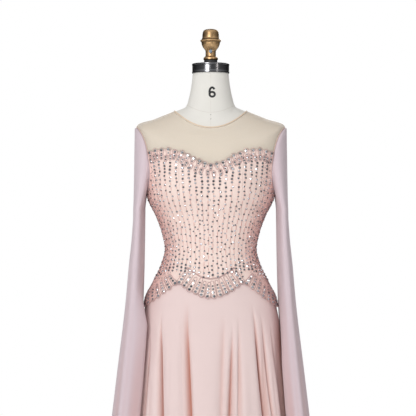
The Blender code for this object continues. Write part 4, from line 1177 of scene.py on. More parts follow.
def skirt_off(angle, z, out, folds):
    e = 2e-3
    along = skirt_point(angle + e, z, folds) - skirt_point(angle - e, z, folds)
    down = skirt_point(angle, z - e, folds) - skirt_point(angle, z + e, folds)
    return skirt_point(angle, z, folds) + unit(np.cross(down, along)) * out


CREASE_HASTE = 2.0
HASTY_CREASES = tuple(row + (CREASE_HASTE,) for row in SKIRT_CREASES)
ALL_FOLDS = SKIRT_FOLDS + HASTY_CREASES


# How far from the side seam the skirt takes the deep colour as painted shadow of the sleeves, under
# the left and right sleeves.
SIDE_SHADE = (math.radians(4.0), math.radians(25.0))
# Depths at which the skirt's folds, its creases and the sleeve's folds take their full painted shade,
# and how strongly the first two take it.
FULL_SHADE_DEPTH = (0.020, 0.010, 0.009)
FOLD_SHADE_SHARES = (0.75, 0.85)


def skirt_panel(name, start, end, columns, seam_start, seam_end, slot, tuck=0.016, rows=62):
    """A skirt panel between two seams, each given as a function from height to angle."""
    f = np.linspace(0, 1, columns + 1)
    base = start + (end - start) * f
    z_top = np.full(columns + 1, 0.97)
    for _ in range(8):
        z_top = table_curve(HIP_EDGE, np.abs(skirt_point(base, z_top)[:, 0])) + tuck
    g = np.linspace(0, 1, rows + 1)[:, None] ** 1.15
    z = z_top[None, :] + (HEM_Z - z_top[None, :]) * g
    low = seam_start(z)
    high = seam_end(z)
    angle = low + (high - low) * f[None, :]
    inner = skirt_off(angle, z, 0.0, ALL_FOLDS)
    outer = skirt_off(angle, z, SKIRT_WALL, ALL_FOLDS)
    # Painted shade: the fold attribute darkens and warms the valleys of the folds and creases.
    fold = np.clip(-fold_depth(angle, z, SKIRT_FOLDS) / FULL_SHADE_DEPTH[0], 0, 1) ** 0.8
    crease = np.clip(-fold_depth(angle, z, HASTY_CREASES) / FULL_SHADE_DEPTH[1], 0, 1)
    fold = fold * FOLD_SHADE_SHARES[0] + crease * FOLD_SHADE_SHARES[1]
    # Painted shadow of the sleeves on the skirt's sides, wider on the right.
    turn = (angle + HALF_TURN) % FULL_TURN - HALF_TURN
    side = np.abs(np.abs(turn) - QUARTER_TURN) / np.where(turn > 0, SIDE_SHADE[1], SIDE_SHADE[0])
    fold = np.maximum(fold, np.clip(1.2 - side, 0, 1) * np.clip((0.95 - z) / 0.1, 0, 1))
    made = placed(shell(name, outer, inner, SKIRT_LOOK, fold=fold), slot, name)
    sheets.append((made, slot))


def skirt_side(z, behind):
    """Angle of a skirt panel's edge at the right side seam."""
    _, front, back, bend = skirt_sizes(z)
    depth = back if behind else front
    turn = np.arccos((GAP / 2 / depth) ** (bend / 2))
    return HALF_TURN - turn if behind else turn


def back_swing(x, z):
    """How far a place on the skirt's back, x beside the centre, turns away from it."""
    half, _, _, bend = skirt_sizes(z)
    return np.arcsin((x / half) ** (bend / 2))


def skirt_centre_back(z):
    """Angle of the right back panel's edge, clear of the zip above and of the seam below."""
    clear = np.where(z >= ZIP_END_Z + 0.004, ZIP_HALF + GAP, GAP / 2)
    return HALF_TURN - back_swing(clear, z)


def make_skirt():
    side = float(skirt_side(np.array(0.9), False))
    back = float(skirt_side(np.array(0.9), True))
    skirt_panel("skirt_front", -side, side, 380, lambda z: -skirt_side(z, False),
                lambda z: skirt_side(z, False), "skirt_front")
    centre = float(skirt_centre_back(np.array(0.92)))
    skirt_panel("skirt_back_right", back, centre, 190, lambda z: skirt_side(z, True),
                skirt_centre_back, "skirt_back")
    skirt_panel("skirt_back_left", FULL_TURN - centre, FULL_TURN - back, 190,
                lambda z: FULL_TURN - skirt_centre_back(z),
                lambda z: FULL_TURN - skirt_side(z, True), "skirt_back")


# The sleeves.

def skirt_reach(z, side, y):
    """How far the skirt reaches sideways at height z near each y."""
    angle = np.linspace(0.1, HALF_TURN - 0.1, 200)
    point = skirt_point(side * angle, np.full(200, z))
    x = side * point[:, 0]
    near = np.abs(point[:, 1][None, :] - y[:, None]) < 0.014
    return np.where(near, x[None, :], 0.0).max(axis=1)


SLEEVE_CURVES = [prepared(column(SLEEVE, 0), column(SLEEVE, n)) for n in (1, 2, 3)]


def sleeve_section(z, side, turn):
    """The hanging sleeve's section at height z, and each point's painted shade: how deep it lies in a
    fold, plus more on the sleeve's inner side.
    """
    inner, outer, deep = [float(read(z)) for read in SLEEVE_CURVES]
    c = np.cos(turn)
    s = np.sin(turn)
    y = -deep * power(s, 2 / SLEEVE_POWER)
    near = np.full(len(y), inner)
    if z < 1.0:
        near = np.maximum(near, skirt_reach(z, side, y) + SLEEVE_CLEAR)
    far = np.maximum(outer, near + SLEEVE_NARROWEST)
    x = (near + far) / 2 + (far - near) / 2 * power(c, 2 / SLEEVE_POWER)
    lean = unit(np.stack([c / SLEEVE_ROUND, -s / deep], axis=-1))
    moved = np.zeros(len(y))
    for place, start, deep_knee, deep_hem, wide in SLEEVE_FOLDS + SLEEVE_CREASES:
        ease = np.clip((start - z) / (start - KNEE_Z), 0, 1)
        amount = fold_reach(z, ease, deep_knee, deep_hem, SLEEVE_HEM_Z)
        away = (turn - math.radians(place) + HALF_TURN) % FULL_TURN - HALF_TURN
        moved = moved - amount * np.exp(-(away / math.radians(wide)) ** 2)
    moved = moved * np.clip((c + 0.9) / 0.6, 0, 1)
    far_lap, lap_start, lap_ease = SLEEVE_LAP[side > 0]
    lap = far_lap * np.clip((lap_start - z) / lap_ease, 0, 1)
    x = x - lap * np.exp(-((turn - LAP_TURN) / LAP_WIDE) ** 2)
    point = np.stack([side * (x + lean[:, 0] * moved), y + lean[:, 1] * moved,
                      np.full(len(y), z)], axis=-1)
    # Painted shade and painted thrown-back light on the sleeve's inner side, added to the shade of its
    # folds.
    most, shade_start, shade_ease = SLEEVE_INNER_SHADE
    inner_shade = most * np.clip(-c - 0.15, 0, 1) * np.clip((shade_start - z) / shade_ease, 0, 1)
    return point, inner_shade - moved


def armhole_start(side, count):
    """First ring of a sleeve, evenly spaced, just inside the armhole's edge, and its way out."""
    turn = np.linspace(0, FULL_TURN, 1441)
    run = run_along(body_point(*armhole(turn)))
    even = np.interp(np.linspace(0, run[-1], count, endpoint=False), run, turn)
    angle, ring = armhole(even)
    point = body_point(angle, ring)
    normal = body_normal(angle, ring)
    along = unit(body_point(*armhole(even + 0.01)) - body_point(*armhole(even - 0.01)))
    inward = np.cross(along, normal)
    sign = np.sign(np.sum(inward * (point.mean(axis=0) - point), axis=1, keepdims=True))
    start = point + unit(inward * sign) * SEAM_INSET + normal * 0.0006
    way = unit(np.stack([np.ones(len(even)), normal[:, 1] * 0.8, np.full(len(even), -0.30)],
                        axis=-1))
    mirror = np.array([side, 1.0, 1.0])
    return start * mirror, way * mirror, even


# Columns round a sleeve, rows from its shoulder to where it hangs, and rows down to its hem.
SLEEVE_COLUMNS = 112
SHOULDER_ROWS = 19
HANGING_ROWS = 72


def make_sleeve(name, side):
    start, way, turn = armhole_start(side, SLEEVE_COLUMNS)
    first, fold = sleeve_section(SLEEVE_TOP_Z, side, turn)
    flange = start + way * SLEEVE_FLANGE
    rows = [start, start + way * SLEEVE_FLANGE * 0.5, flange]
    folds = [fold * 0, fold * 0, fold * 0]
    for share in np.linspace(0, 1, SHOULDER_ROWS)[1:-1]:
        rows.append(flange + (first - flange) * share)
        folds.append(fold * 0)
    for z in np.linspace(SLEEVE_TOP_Z, SLEEVE_HEM_Z, HANGING_ROWS):
        point, fold = sleeve_section(z, side, turn)
        rows.append(point)
        folds.append(fold)
    grid = np.array(rows)
    around = np.roll(grid, -1, axis=1) - np.roll(grid, 1, axis=1)
    normal = unit(np.cross(np.gradient(grid, axis=0), around))
    if np.sum(normal * (grid - grid.mean(axis=1, keepdims=True))) < 0:
        normal = -normal
    outer = grid + normal * SLEEVE_WALL / 2
    inner = grid - normal * SLEEVE_WALL / 2
    # The fold attribute is painted shade: in the folds and on the inner side.
    made = shell(name, outer, inner, SLEEVE_LOOK, True, np.array(folds) / FULL_SHADE_DEPTH[2])
    sheets.append((placed(made, "sleeve", name), "sleeve"))


# Beads. A template is a few points across, along and out, and its triangles.

def ring_points(count, radius, height, start=0.0):
    turn = start + np.linspace(0, FULL_TURN, count, endpoint=False)
    return [(radius * math.cos(t), radius * math.sin(t), height) for t in turn]


def band(low, high, count):
    """Triangles between two rings of a template, given by their first point numbers."""
    faces = []
    for i in range(count):
        k = (i + 1) % count
        faces.append((low + i, low + k, high + k))
        faces.append((low + i, high + k, high + i))
    return faces


def lid(first, count, up):
    faces = [(first, first + i, first + i + 1) for i in range(1, count - 1)]
    return faces if up else [face[::-1] for face in faces]


def crystal_template():
    """A faceted stone in eight sides: table, crown and girdle over a flat back."""
    points = ring_points(8, 0.90, -0.25) + ring_points(8, 1.0, 0.10)
    points = points + ring_points(8, 0.50, 0.62, HALF_TURN / 8)
    faces = band(0, 8, 8) + band(8, 16, 8) + lid(16, 8, True) + lid(0, 8, False)
    return np.array(points), np.array(faces)


def seed_template(sides):
    """A round drilled bead lying along its thread."""
    points = []
    for radius, run in ((0.55, -0.80), (1.0, 0.0), (0.55, 0.80)):
        points += [(x, run, y) for x, y, _ in ring_points(sides, radius, 0.0)]
    faces = band(0, sides, sides) + band(sides, 2 * sides, sides)
    faces = [face[::-1] for face in faces]
    faces = faces + lid(0, sides, True) + lid(2 * sides, sides, False)
    return np.array(points), np.array(faces)


CRYSTAL = crystal_template()
SEED_BEAD = seed_template(5)
STREWN_BEAD = seed_template(4)


def copies(template, centre, axes, size):
    """Points and triangles of a template set down at each centre, along its axes in its size."""
    shape, faces = template
    points = centre[:, None, :]
    for number, axis in enumerate(axes):
        reach = shape[None, :, number] * size[:, number][:, None]
        points = points + axis[:, None, :] * reach[:, :, None]
    every = faces[None] + (np.arange(len(centre)) * len(shape))[:, None, None]
    return points, every.reshape(-1, 3)


class Beads:
    """Collects beads on the body and makes them one joined mesh."""

    def __init__(self, template, smooth):
        self.template = template
        self.smooth = smooth
        self.parts = []

    def add(self, angle, ring, along, size, out, tone, lean=0.0):
        """Beads at angles and rings. Along is each thread's way, size half width, run and tall.
        Lean tips each bead a little away from square to the cloth."""
        angle = np.atleast_1d(np.asarray(angle, float))
        if not len(angle):
            return
        ring = np.atleast_1d(np.asarray(ring, float))
        normal = body_normal(angle, ring)
        centre = body_point(angle, ring) + normal * np.broadcast_to(out, angle.shape)[:, None]
        normal = unit(normal + lean)
        along = along - normal * np.sum(along * normal, axis=1, keepdims=True)
        along = unit(along)
        across = np.cross(along, normal)
        size = np.broadcast_to(size, (len(angle), 3))
        tone = np.broadcast_to(tone, angle.shape)
        self.parts.append((centre, across, along, normal, size, tone))

    def make(self, name, look, slot):
        centre, across, along, normal, size, tone = [
            np.concatenate([part[n] for part in self.parts]) for n in range(6)]
        points, faces = copies(self.template, centre, (across, along, normal), size)
        tones = {"tone": np.repeat(tone, len(self.template[0]))}
        return placed(mesh_from(name, points, faces, look, self.smooth, tones), slot)


LINES = 15
LINE_Z = np.linspace(0.925, 1.40, 96)


def share_table(behind):
    """Angles at even shares of the way from the centre to the side, for a set of heights."""
    angle = np.linspace(0.0, QUARTER_TURN, 91)
    if behind:
        angle = HALF_TURN - angle
    table = []
    for z in LINE_Z:
        ring = body_ring(angle, np.full(len(angle), z))
        run = run_along(body_point(angle, ring))
        table.append(np.interp(np.linspace(0, 1, 61), run / run[-1], angle))
    return np.array(table)


SHARES = {False: share_table(False), True: share_table(True)}


def line_angle(share, z, behind):
    """Angle at a share of the way from the centre to the side, at each height."""
    table = SHARES[behind]
    at = np.clip(share, 0, 1) * (table.shape[1] - 1)
    low = np.minimum(np.floor(at).astype(int), table.shape[1] - 2)
    part = at - low
    row = np.interp(z, LINE_Z, np.arange(len(LINE_Z)))
    up = np.minimum(np.floor(row).astype(int), len(LINE_Z) - 2)
    more = row - up
    first = table[up, low] * (1 - part) + table[up, low + 1] * part
    second = table[up + 1, low] * (1 - part) + table[up + 1, low + 1] * part
    return first * (1 - more) + second * more


def place_number(at, run):
    """The number of the point at each distance along a line, with its fraction."""
    return np.interp(at, run, np.arange(len(run)))


def thread_way(angle, ring):
    """The direction of a line of places at each of its points."""
    point = body_point(angle, ring)
    return unit(np.gradient(point, axis=0))


CRYSTAL_SWAY = math.radians(1.5)
STONE_LEAN = 0.14
SEED_R = 0.00115
SEED_STEP = 0.0028
SEED_SIZE = (SEED_R, SEED_STEP * 0.44, SEED_R)
RING_R = 0.00135
RING_STEP = 0.0027
RING_SIZE = (RING_R, RING_STEP * 0.46, RING_R)
# Crystals on a line: the step between them and how much shorter it is near the line's ends,
# their half width and how much more it is there, and how uneven the step is.
STONE_STEP = (0.0152, 0.0066)
STONE_R = (0.0025, 0.0010)
STONE_UNEVEN = 0.0036
# The least distance from a crystal to the next seed bead, centre to centre.
STONE_ROOM = 0.0030
# Share of the crystals that are dark.
DARK_STONES = 0.70
BEAD_TOP = 0.025
BEAD_LOW = 0.046
# How far the top petals stand out past the edge.
TOP_PROUD = 0.0098
SECOND_BACK = -0.0075
# How unevenly the petals of the top and of the hip stand out.
RAGGED = 0.0036
NEAT = 0.0014
# Where the hip border's lobe meets its wings, how wide the place is and how far lines go down there.
NOTCH_AT = (0.078, 0.019, 0.037)
# Petals. Columns: length, width of the round tip, width of the narrow end.
TOP_PETAL = (0.0195, 0.0140, 0.0095)
CENTRE_PETAL = (0.0190, 0.0145, 0.0090)
SECOND_PETAL = (0.0160, 0.0100, 0.0080)
WING_PETAL = (0.042, 0.0140, 0.0085)
LOBE_PETAL = (0.046, 0.0150, 0.0080)
# The stones in a petal. Columns: distance from its round tip, radius.
TOP_STONES = ((0.0062, 0.0040), (0.0138, 0.0025))
SECOND_STONES = ((0.0048, 0.0029), (0.0112, 0.0025))
HIP_STONES = ((0.0066, 0.0042), (0.0160, 0.0038), (0.0252, 0.0032), (0.0334, 0.0026))
# How far the hip petals stand out past the edge of a wing and of the lobe.
WING_PROUD = 0.0062
LOBE_PROUD = 0.0066
# Two strings of beads over the lobe's petals: how far above its edge, and how far round it they go.
STRING_OFFSETS = (0.0440, 0.0462)
STRING_SHARE = 0.74
STREWN = 2150
STREWN_SIZE = (0.0008, 0.0014, 0.0008)
SMALL_STONE_SIZE = (0.0012, 0.0017, 0.0011)


def bead_line(share, behind, side, seeds, crystals, draw):
    """One vertical line of the bodice: seed beads with crystals between them."""
    edge = BACK_TOP if behind else SWEETHEART
    z = np.linspace(1.40, 0.93, 900)
    angle = line_angle(np.full(len(z), share), z, behind)
    ring = body_ring(angle, z)
    point = body_point(angle, ring)
    x = np.abs(point[:, 0])
    from_top = table_curve(edge, x) - z
    from_low = z - table_curve(HIP_EDGE, x)
    notch = np.exp(-((x - NOTCH_AT[0]) / NOTCH_AT[1]) ** 2)
    least = BEAD_LOW - NOTCH_AT[2] * notch
    keep = (from_top > BEAD_TOP) & (from_low > least) & ~in_armhole(angle, ring)
    angle, ring, point = angle[keep], ring[keep], point[keep]
    from_top, from_low = from_top[keep], from_low[keep]
    if len(angle) < 8:
        return
    run = run_along(point)
    stops = []
    kinds = []
    at = draw.uniform(0.0, 0.006)
    while at < run[-1]:
        top = float(np.interp(at, run, from_top))
        low = float(np.interp(at, run, from_low))
        near = max(math.exp(-((top - BEAD_TOP) / 0.070) ** 2),
                   math.exp(-((low - BEAD_LOW) / 0.028) ** 2))
        uneven = draw.uniform(-STONE_UNEVEN, STONE_UNEVEN) * (1.25 - near)
        step = STONE_STEP[0] - STONE_STEP[1] * near + uneven
        stops.append(at)
        kinds.append(near)
        at += step
    stops = np.array(stops)
    kinds = np.array(kinds)
    way = thread_way(angle, ring)
    mirror = np.array([side, 1, 1])
    number = np.round(place_number(stops, run)).astype(int)
    big = STONE_R[0] + STONE_R[1] * kinds + draw.uniform(-0.0002, 0.0002, len(stops))
    dark = draw.uniform(0, 1, len(stops))
    tone = np.where(dark < DARK_STONES, draw.uniform(0.0, 0.22, len(stops)),
                    draw.uniform(0.45, 0.95, len(stops)))
    size = np.stack([big, big * draw.uniform(0.80, 1.05, len(stops)), big * 0.85], axis=-1)
    tilt = way[number] + draw.uniform(-0.25, 0.25, (len(stops), 3))
    sway = draw.uniform(-CRYSTAL_SWAY, CRYSTAL_SWAY, len(stops)) * (1.2 - kinds)
    crystals.add(side * (angle[number] + sway), ring[number], tilt * mirror, size,
                 BODICE_OUTER + 0.0007, tone, draw.normal(0, STONE_LEAN, (len(stops), 3)))
    beads = np.arange(SEED_STEP, run[-1], SEED_STEP)
    beads = beads[np.abs(beads[:, None] - stops[None, :]).min(axis=1) > STONE_ROOM]
    number = np.round(place_number(beads, run)).astype(int)
    tone = np.clip(0.45 + 0.25 * np.sin(beads * 60.0) + draw.uniform(-0.2, 0.2, len(beads)), 0, 1)
    seeds.add(side * angle[number], ring[number], way[number] * mirror, SEED_SIZE,
              BODICE_OUTER + SEED_R * 0.5, tone)


def on_surface(angle, ring, way, u, v):
    """Places at u across and v along a direction on the body, starting from one place."""
    normal = body_normal(angle, ring)
    way = unit(way - normal * np.dot(way, normal))
    across = np.cross(way, normal)
    move = across[None, :] * u[:, None] + way[None, :] * v[:, None]
    base = np.stack(body_steps(angle, ring), axis=-1) / (2 * NUDGE)
    change = np.linalg.lstsq(base, move.T, rcond=None)[0]
    return angle + change[0], ring + change[1], way, across


def petal(angle, ring, way, size, stones, seeds, crystals, draw, side):
    """A pear shaped loop of seed beads with stones in it. It starts at its round tip."""
    length, wide, narrow = size
    tip = np.linspace(-QUARTER_TURN, QUARTER_TURN, 40)
    end = np.linspace(0, HALF_TURN, 24)
    u = np.concatenate([np.sin(tip) * wide / 2, np.cos(end) * narrow / 2, [-wide / 2]])
    v = np.concatenate([(1 - np.cos(tip)) * wide / 2,
                        length - narrow / 2 * (1 - np.sin(end)), [wide / 2]])
    run = run_along(np.stack([u, v], axis=-1))
    count = max(int(run[-1] / RING_STEP), 8)
    stops = np.linspace(0, run[-1], count, endpoint=False)
    u = np.interp(stops, run, u)
    v = np.interp(stops, run, v)
    a, r, way, across = on_surface(angle, ring, way, u, v)
    loop = np.stack([u, v], axis=-1)
    turn = np.roll(loop, -1, axis=0) - np.roll(loop, 1, axis=0)
    along = across[None, :] * turn[:, :1] + way[None, :] * turn[:, 1:]
    mirror = np.array([side, 1, 1])
    tone = draw.uniform(0.15, 0.75, count)
    seeds.add(side * a, r, along * mirror, RING_SIZE, BODICE_OUTER + RING_R * 0.7, tone)
    for place, radius in stones:
        a, r, way, _ = on_surface(angle, ring, way, np.zeros(1), np.array([place]))
        light = draw.uniform(0.05, 0.85)
        crystals.add(side * a, r, way[None, :] * mirror,
                     (radius, radius * draw.uniform(0.9, 1.05), radius * 0.75),
                     BODICE_OUTER + 0.0008, light, draw.normal(0, STONE_LEAN, (1, 3)))


def border(edge, ends, lobes, inward, size, stones, beads, draw, side, shift):
    """Petals in the middle of each scallop of an edge, pointing square to it."""
    line = edge_line(edge, *ends)
    point = line_points(line)
    run = run_along(point)
    for lobe in range(lobes):
        at = (lobe + 0.5) / lobes * run[-1]
        index = place_number(at, run)
        k = int(np.clip(round(index), 4, len(run) - 5))
        angle, ring = [float(np.interp(index, np.arange(len(run)), line[:, n])) for n in (0, 1)]
        tangent = unit(point[k + 4] - point[k - 4])
        way = np.cross(body_normal(angle, ring), tangent)
        if way[2] * inward < 0:
            way = -way
        proud = shift + draw.uniform(-1, 1) * (RAGGED if inward < 0 else NEAT)
        a, r, way, _ = on_surface(angle, ring, way, np.zeros(1), np.array([-proud]))
        uneven = (size[0] * draw.uniform(0.94, 1.05), size[1], size[2])
        petal(float(a[0]), float(r[0]), way, uneven, stones, *beads, draw, side)


def arc_string(edge, ends, offset, seeds, draw):
    """A string of beads that runs beside an edge, at an even distance above it."""
    line = edge_line(edge, *ends)
    point = line_points(line)
    run = run_along(point)
    stops = np.arange(0, run[-1], SEED_STEP)
    angle = np.interp(stops, run, line[:, 0])
    ring = body_ring(angle, np.interp(stops, run, point[:, 2]) + offset)
    seeds.add(angle, ring, thread_way(angle, ring), SEED_SIZE, BODICE_OUTER + SEED_R * 0.6,
              draw.uniform(0.1, 0.6, len(stops)))


def scatter(side, behind, count, seeds, crystals, draw):
    """Small beads strewn over the side of the bodice, thicker towards the side seam."""
    share = 1 - draw.uniform(0, 1, count) ** 1.6 * 0.42
    z = draw.uniform(0.96, 1.33, count)
    angle = line_angle(share, z, behind)
    ring = body_ring(angle, z)
    x = np.abs(body_point(angle, ring)[:, 0])
    edge = BACK_TOP if behind else SWEETHEART
    keep = (table_curve(edge, x) - z > 0.008) & (z - table_curve(HIP_EDGE, x) > 0.008)
    keep = keep & ~in_armhole(angle, ring, 0.03)
    angle, ring = angle[keep], ring[keep]
    way = draw.normal(0, 1, (len(angle), 3)) + np.array([0, 0, 0.6])
    tone = draw.uniform(0.0, 0.6, len(angle))
    seeds.add(side * angle, ring, way, STREWN_SIZE, BODICE_OUTER + 0.0004, tone)
    few = slice(0, len(angle) // 9)
    crystals.add(side * angle[few], ring[few], way[few], SMALL_STONE_SIZE,
                 BODICE_OUTER + 0.0005, draw.uniform(0.05, 0.5, len(angle[few])))


def make_beads():
    draw = np.random.default_rng(SEED)
    z_top = seam_corner(SWEETHEART)
    z_low = seam_corner(HIP_LOBE)
    seam_top = float(body_angle(table_curve(PRINCESS, z_top), z_top))
    seam_low = float(body_angle(table_curve(PRINCESS, z_low), z_low))
    front_tip = armhole_corner(SWEETHEART, False)[0]
    back_tip = armhole_corner(BACK_TOP, True)[0]
    back_end = HALF_TURN - 0.05
    for behind, name in ((False, "front"), (True, "back")):
        lines = Beads(SEED_BEAD, True)
        strewn = Beads(STREWN_BEAD, True)
        edges = Beads(SEED_BEAD, True)
        stones = Beads(CRYSTAL, False)
        beads = (edges, stones)
        if behind:
            top_edge, top_ends, top_counts = BACK_TOP, (back_tip, back_end), (8, 10)
            low_edge, low_ends, low_count = HIP_EDGE, (QUARTER_TURN, back_end), 12
        else:
            top_edge, top_ends, top_counts = SWEETHEART, (seam_top, front_tip), (5, 7)
            low_edge, low_ends, low_count = HIP_WING, (seam_low, QUARTER_TURN), 8
        for side in (-1.0, 1.0):
            for number in range(LINES):
                bead_line((number + 0.5) / LINES, behind, side, lines, stones, draw)
            scatter(side, behind, STREWN, strewn, stones, draw)
            border(top_edge, top_ends, top_counts[0], -1, TOP_PETAL, TOP_STONES, beads, draw, side,
                   TOP_PROUD)
            border(top_edge, top_ends, top_counts[1], -1, SECOND_PETAL, SECOND_STONES, beads, draw,
                   side, SECOND_BACK)
            border(low_edge, low_ends, low_count, 1, WING_PETAL, HIP_STONES, beads, draw, side,
                   WING_PROUD)
        if not behind:
            ends = (-seam_top, seam_top)
            border(SWEETHEART, ends, 11, -1, CENTRE_PETAL, TOP_STONES, beads, draw, 1.0, TOP_PROUD)
            border(SWEETHEART, ends, 14, -1, SECOND_PETAL, SECOND_STONES, beads, draw, 1.0,
                   SECOND_BACK)
            border(HIP_LOBE, (-seam_low, seam_low), 12, 1, LOBE_PETAL, HIP_STONES, beads, draw, 1.0,
                   LOBE_PROUD)
            ends = (-seam_low * STRING_SHARE, seam_low * STRING_SHARE)
            for offset in STRING_OFFSETS:
                arc_string(HIP_LOBE, ends, offset, edges, draw)
        slot = "bodice_back" if behind else "bodice_centre"
        lines.make("seed_lines_" + name, SEED_LOOK, slot)
        strewn.make("strewn_beads_" + name, RING_LOOK, slot)
        edges.make("petal_beads_" + name, RING_LOOK, slot)
        stones.make("crystals_" + name, CRYSTAL_LOOK, slot)


# The dress form and its stand.

def rounded(profile, turns=2, keep=0.82):
    """A profile with its corners softened. Its two ends stay on the axis."""
    points = np.array(profile, float)
    for _ in range(turns):
        step = np.diff(points, axis=0)
        first = points[:-1] + step * (1 - keep)
        second = points[:-1] + step * keep
        inner = np.stack([first, second], axis=1).reshape(-1, 2)
        points = np.concatenate([points[:1], inner, points[-1:]])
    return points


def close_set(profile, step):
    """The same profile with points no further apart than a step."""
    points = np.asarray(profile, float)
    run = run_along(points)
    stops = np.unique(np.concatenate([run, np.arange(0, run[-1], step)]))
    return np.stack([np.interp(stops, run, points[:, n]) for n in (0, 1)], axis=-1)


def turned(name, profile, look, slot, nodes, count=96, place=None, tone=None):
    """A solid of revolution from radius and height, both ends on the axis."""
    profile = np.asarray(profile, float)
    turn = np.linspace(0, FULL_TURN, count, endpoint=False)
    radius = np.maximum(profile[:, 0], 1e-6)[:, None]
    points = np.stack([radius * np.cos(turn), radius * np.sin(turn),
                       np.broadcast_to(profile[:, 1][:, None], (len(profile), count))], axis=-1)
    points = points.reshape(-1, 3)
    if place is not None:
        points = place(points)
    faces = grid_faces(len(profile), count, True)[:, ::-1]
    spots = {} if tone is None else {"tone": np.repeat(tone, count)}
    made = mesh_from(name, points, faces, look, True, spots)
    made.data.set_sharp_from_angle(angle=math.radians(50.0))
    return placed(made, slot, *nodes)


def make_form():
    """The closed torso and neck under the dress."""
    count = FORM_COLUMNS
    rings = np.concatenate([np.linspace(0, 4.4, 40), np.linspace(4.5, 7.4, 40),
                            np.linspace(7.6, LAST_RING, 50)])
    angle = np.linspace(0, FULL_TURN, count, endpoint=False)
    rows = []
    for ring in rings:
        inset = float(table_curve(FORM_INSET, ring))
        rows.append(body_off(angle, np.full(count, ring), -inset))
    for row in (rows[0], rows[-1]):
        row[:, 2] = row[:, 2].mean()
    top = np.broadcast_to(rows[0].mean(axis=0), (count, 3))
    low = np.broadcast_to(rows[-1].mean(axis=0), (count, 3))
    grid = np.array([top] + rows + [low])
    faces = grid_faces(len(grid), count, True)
    uv = np.stack(np.broadcast_arrays(angle[None, :] * FORM_AROUND, grid[:, :, 2]), axis=-1)
    made = mesh_from("form_torso", grid, faces, CANVAS_LOOK, True, (), uv)
    placed(made, "form_canvas", "form_torso")
    return float(rows[-1][0, 2])


def form_off(angle, ring, out):
    return body_off(angle, ring, out - table_curve(FORM_INSET, ring))


def thread(name, angle, ring, half):
    """A sewn seam on the form: a low rib along a line of angles and rings."""
    centres = form_off(angle, ring, half * 0.3)
    normal = body_normal(angle, ring)
    along = unit(np.gradient(centres, axis=0))
    made = tube(name, centres, np.cross(along, normal), normal, half, half * 0.7, THREAD_LOOK, 8, 1)
    placed(made, "form_canvas")


def number_path():
    """Middle line of the figure six, in shares of its height, from its top end round its bowl."""
    bowl_y = -0.20
    bowl_wide = 0.5 * NUMBER_WIDE / NUMBER_TALL
    stroke = 0.5 * NUMBER_STROKE / NUMBER_TALL
    rx = bowl_wide - stroke
    ry = 0.30 - stroke
    stem = np.linspace(math.radians(35.0), math.radians(180.0), 40)
    sx = rx * np.cos(stem)
    sy = 0.02 + (0.48 - stroke) * np.sin(stem)
    bowl = np.linspace(math.radians(180.0), math.radians(540.0), 80)
    bx = rx * np.cos(bowl)
    by = bowl_y + ry * np.sin(bowl)
    return np.concatenate([sx, [-rx] * 3, bx]), np.concatenate([sy, [0.0, -0.07, -0.14], by])


def make_number():
    x, y = number_path()
    path = np.stack([x, y], axis=-1) * NUMBER_TALL
    way = np.gradient(path, axis=0)
    way = way / np.maximum(np.linalg.norm(way, axis=1, keepdims=True), 1e-9)
    square = np.stack([-way[:, 1], way[:, 0]], axis=-1)
    layers = []
    for lift in (0.0006, 0.0001):
        sides = []
        for hand in (-0.5, 0.5):
            spot = path + square * hand * NUMBER_STROKE
            px = NUMBER_AT[0] + spot[:, 0]
            z = NUMBER_AT[1] + spot[:, 1]
            low = np.full(len(z), 0.0)
            high = np.full(len(z), 3.5)
            for _ in range(HALVINGS):
                ring = (low + high) / 2
                turn = np.arcsin(np.clip(px / body_sizes(ring)[0], -1, 1))
                above = body_height(turn, ring) > z
                low = np.where(above, ring, low)
                high = np.where(above, high, ring)
            sides.append(form_off(turn, ring, lift))
        layers.append(np.stack(sides, axis=1))
    made = shell("size_number", layers[0], layers[1], INK_LOOK)
    placed(made, "form_canvas")


def make_form_details():
    around = np.linspace(-HALF_TURN, HALF_TURN, 181)
    thread("neck_base_seam", around, np.full(181, NECK_SEAM_RING), 0.0006)
    ring = np.linspace(0.1, 7.5, 120)
    thread("centre_seam", np.full(120, 0.0), ring, 0.00045)
    thread("centre_back_seam", np.full(120, HALF_TURN), ring, 0.00045)
    ring = np.linspace(3.3, TIP_RING, 60)
    for hand, side in SIDES:
        thread("shoulder_seam_" + hand, np.full(60, side * QUARTER_TURN), ring, 0.0005)
    pins = Beads(SEED_BEAD, True)
    for ring in PIN_RINGS:
        inset = float(table_curve(FORM_INSET, ring))
        pins.add(0.0, ring, UPWARD[None, :], PIN_SIZE, -inset + 0.0002, 0.3)
    pins.make("pin_heads", INK_LOOK, "form_screw")


def make_screw():
    """A slotted screw in the finial's neck: its shank, and a domed head cut by the slot."""
    def facing(points):
        return np.stack([points[:, 0], -points[:, 2], points[:, 1] + SCREW_Z], axis=-1)

    turned("form_finial_screw", SCREW_SHANK, SCREW_LOOK, "form_screw", ("form_finial_screw",), 48,
           facing)
    cosine, sine = math.cos(SCREW_SLOT_TURN), math.sin(SCREW_SLOT_TURN)
    spin = np.array([[cosine, -sine, 0], [sine, cosine, 0], [0, 0, 1]])
    limit = math.acos(SCREW_SLOT / 2 / SCREW_REACH)
    turn = np.linspace(-limit, limit, 24)
    for name, hand in SIDES:
        grid = []
        for share, height in SCREW_DOME:
            x = SCREW_SLOT / 2 + (SCREW_REACH * np.cos(turn) - SCREW_SLOT / 2) * share
            y = SCREW_REACH * np.sin(turn) * share
            grid.append(np.stack([hand * x, hand * y, np.full(24, height)], axis=-1))
        grid = np.array(grid)
        low = grid.copy()
        low[..., 2] = SCREW_SEAT
        outer, inner = [facing(part.reshape(-1, 3) @ spin.T).reshape(grid.shape)
                        for part in (grid, low)]
        placed(shell("screw_head_" + name, outer, inner, SCREW_LOOK), "form_screw")


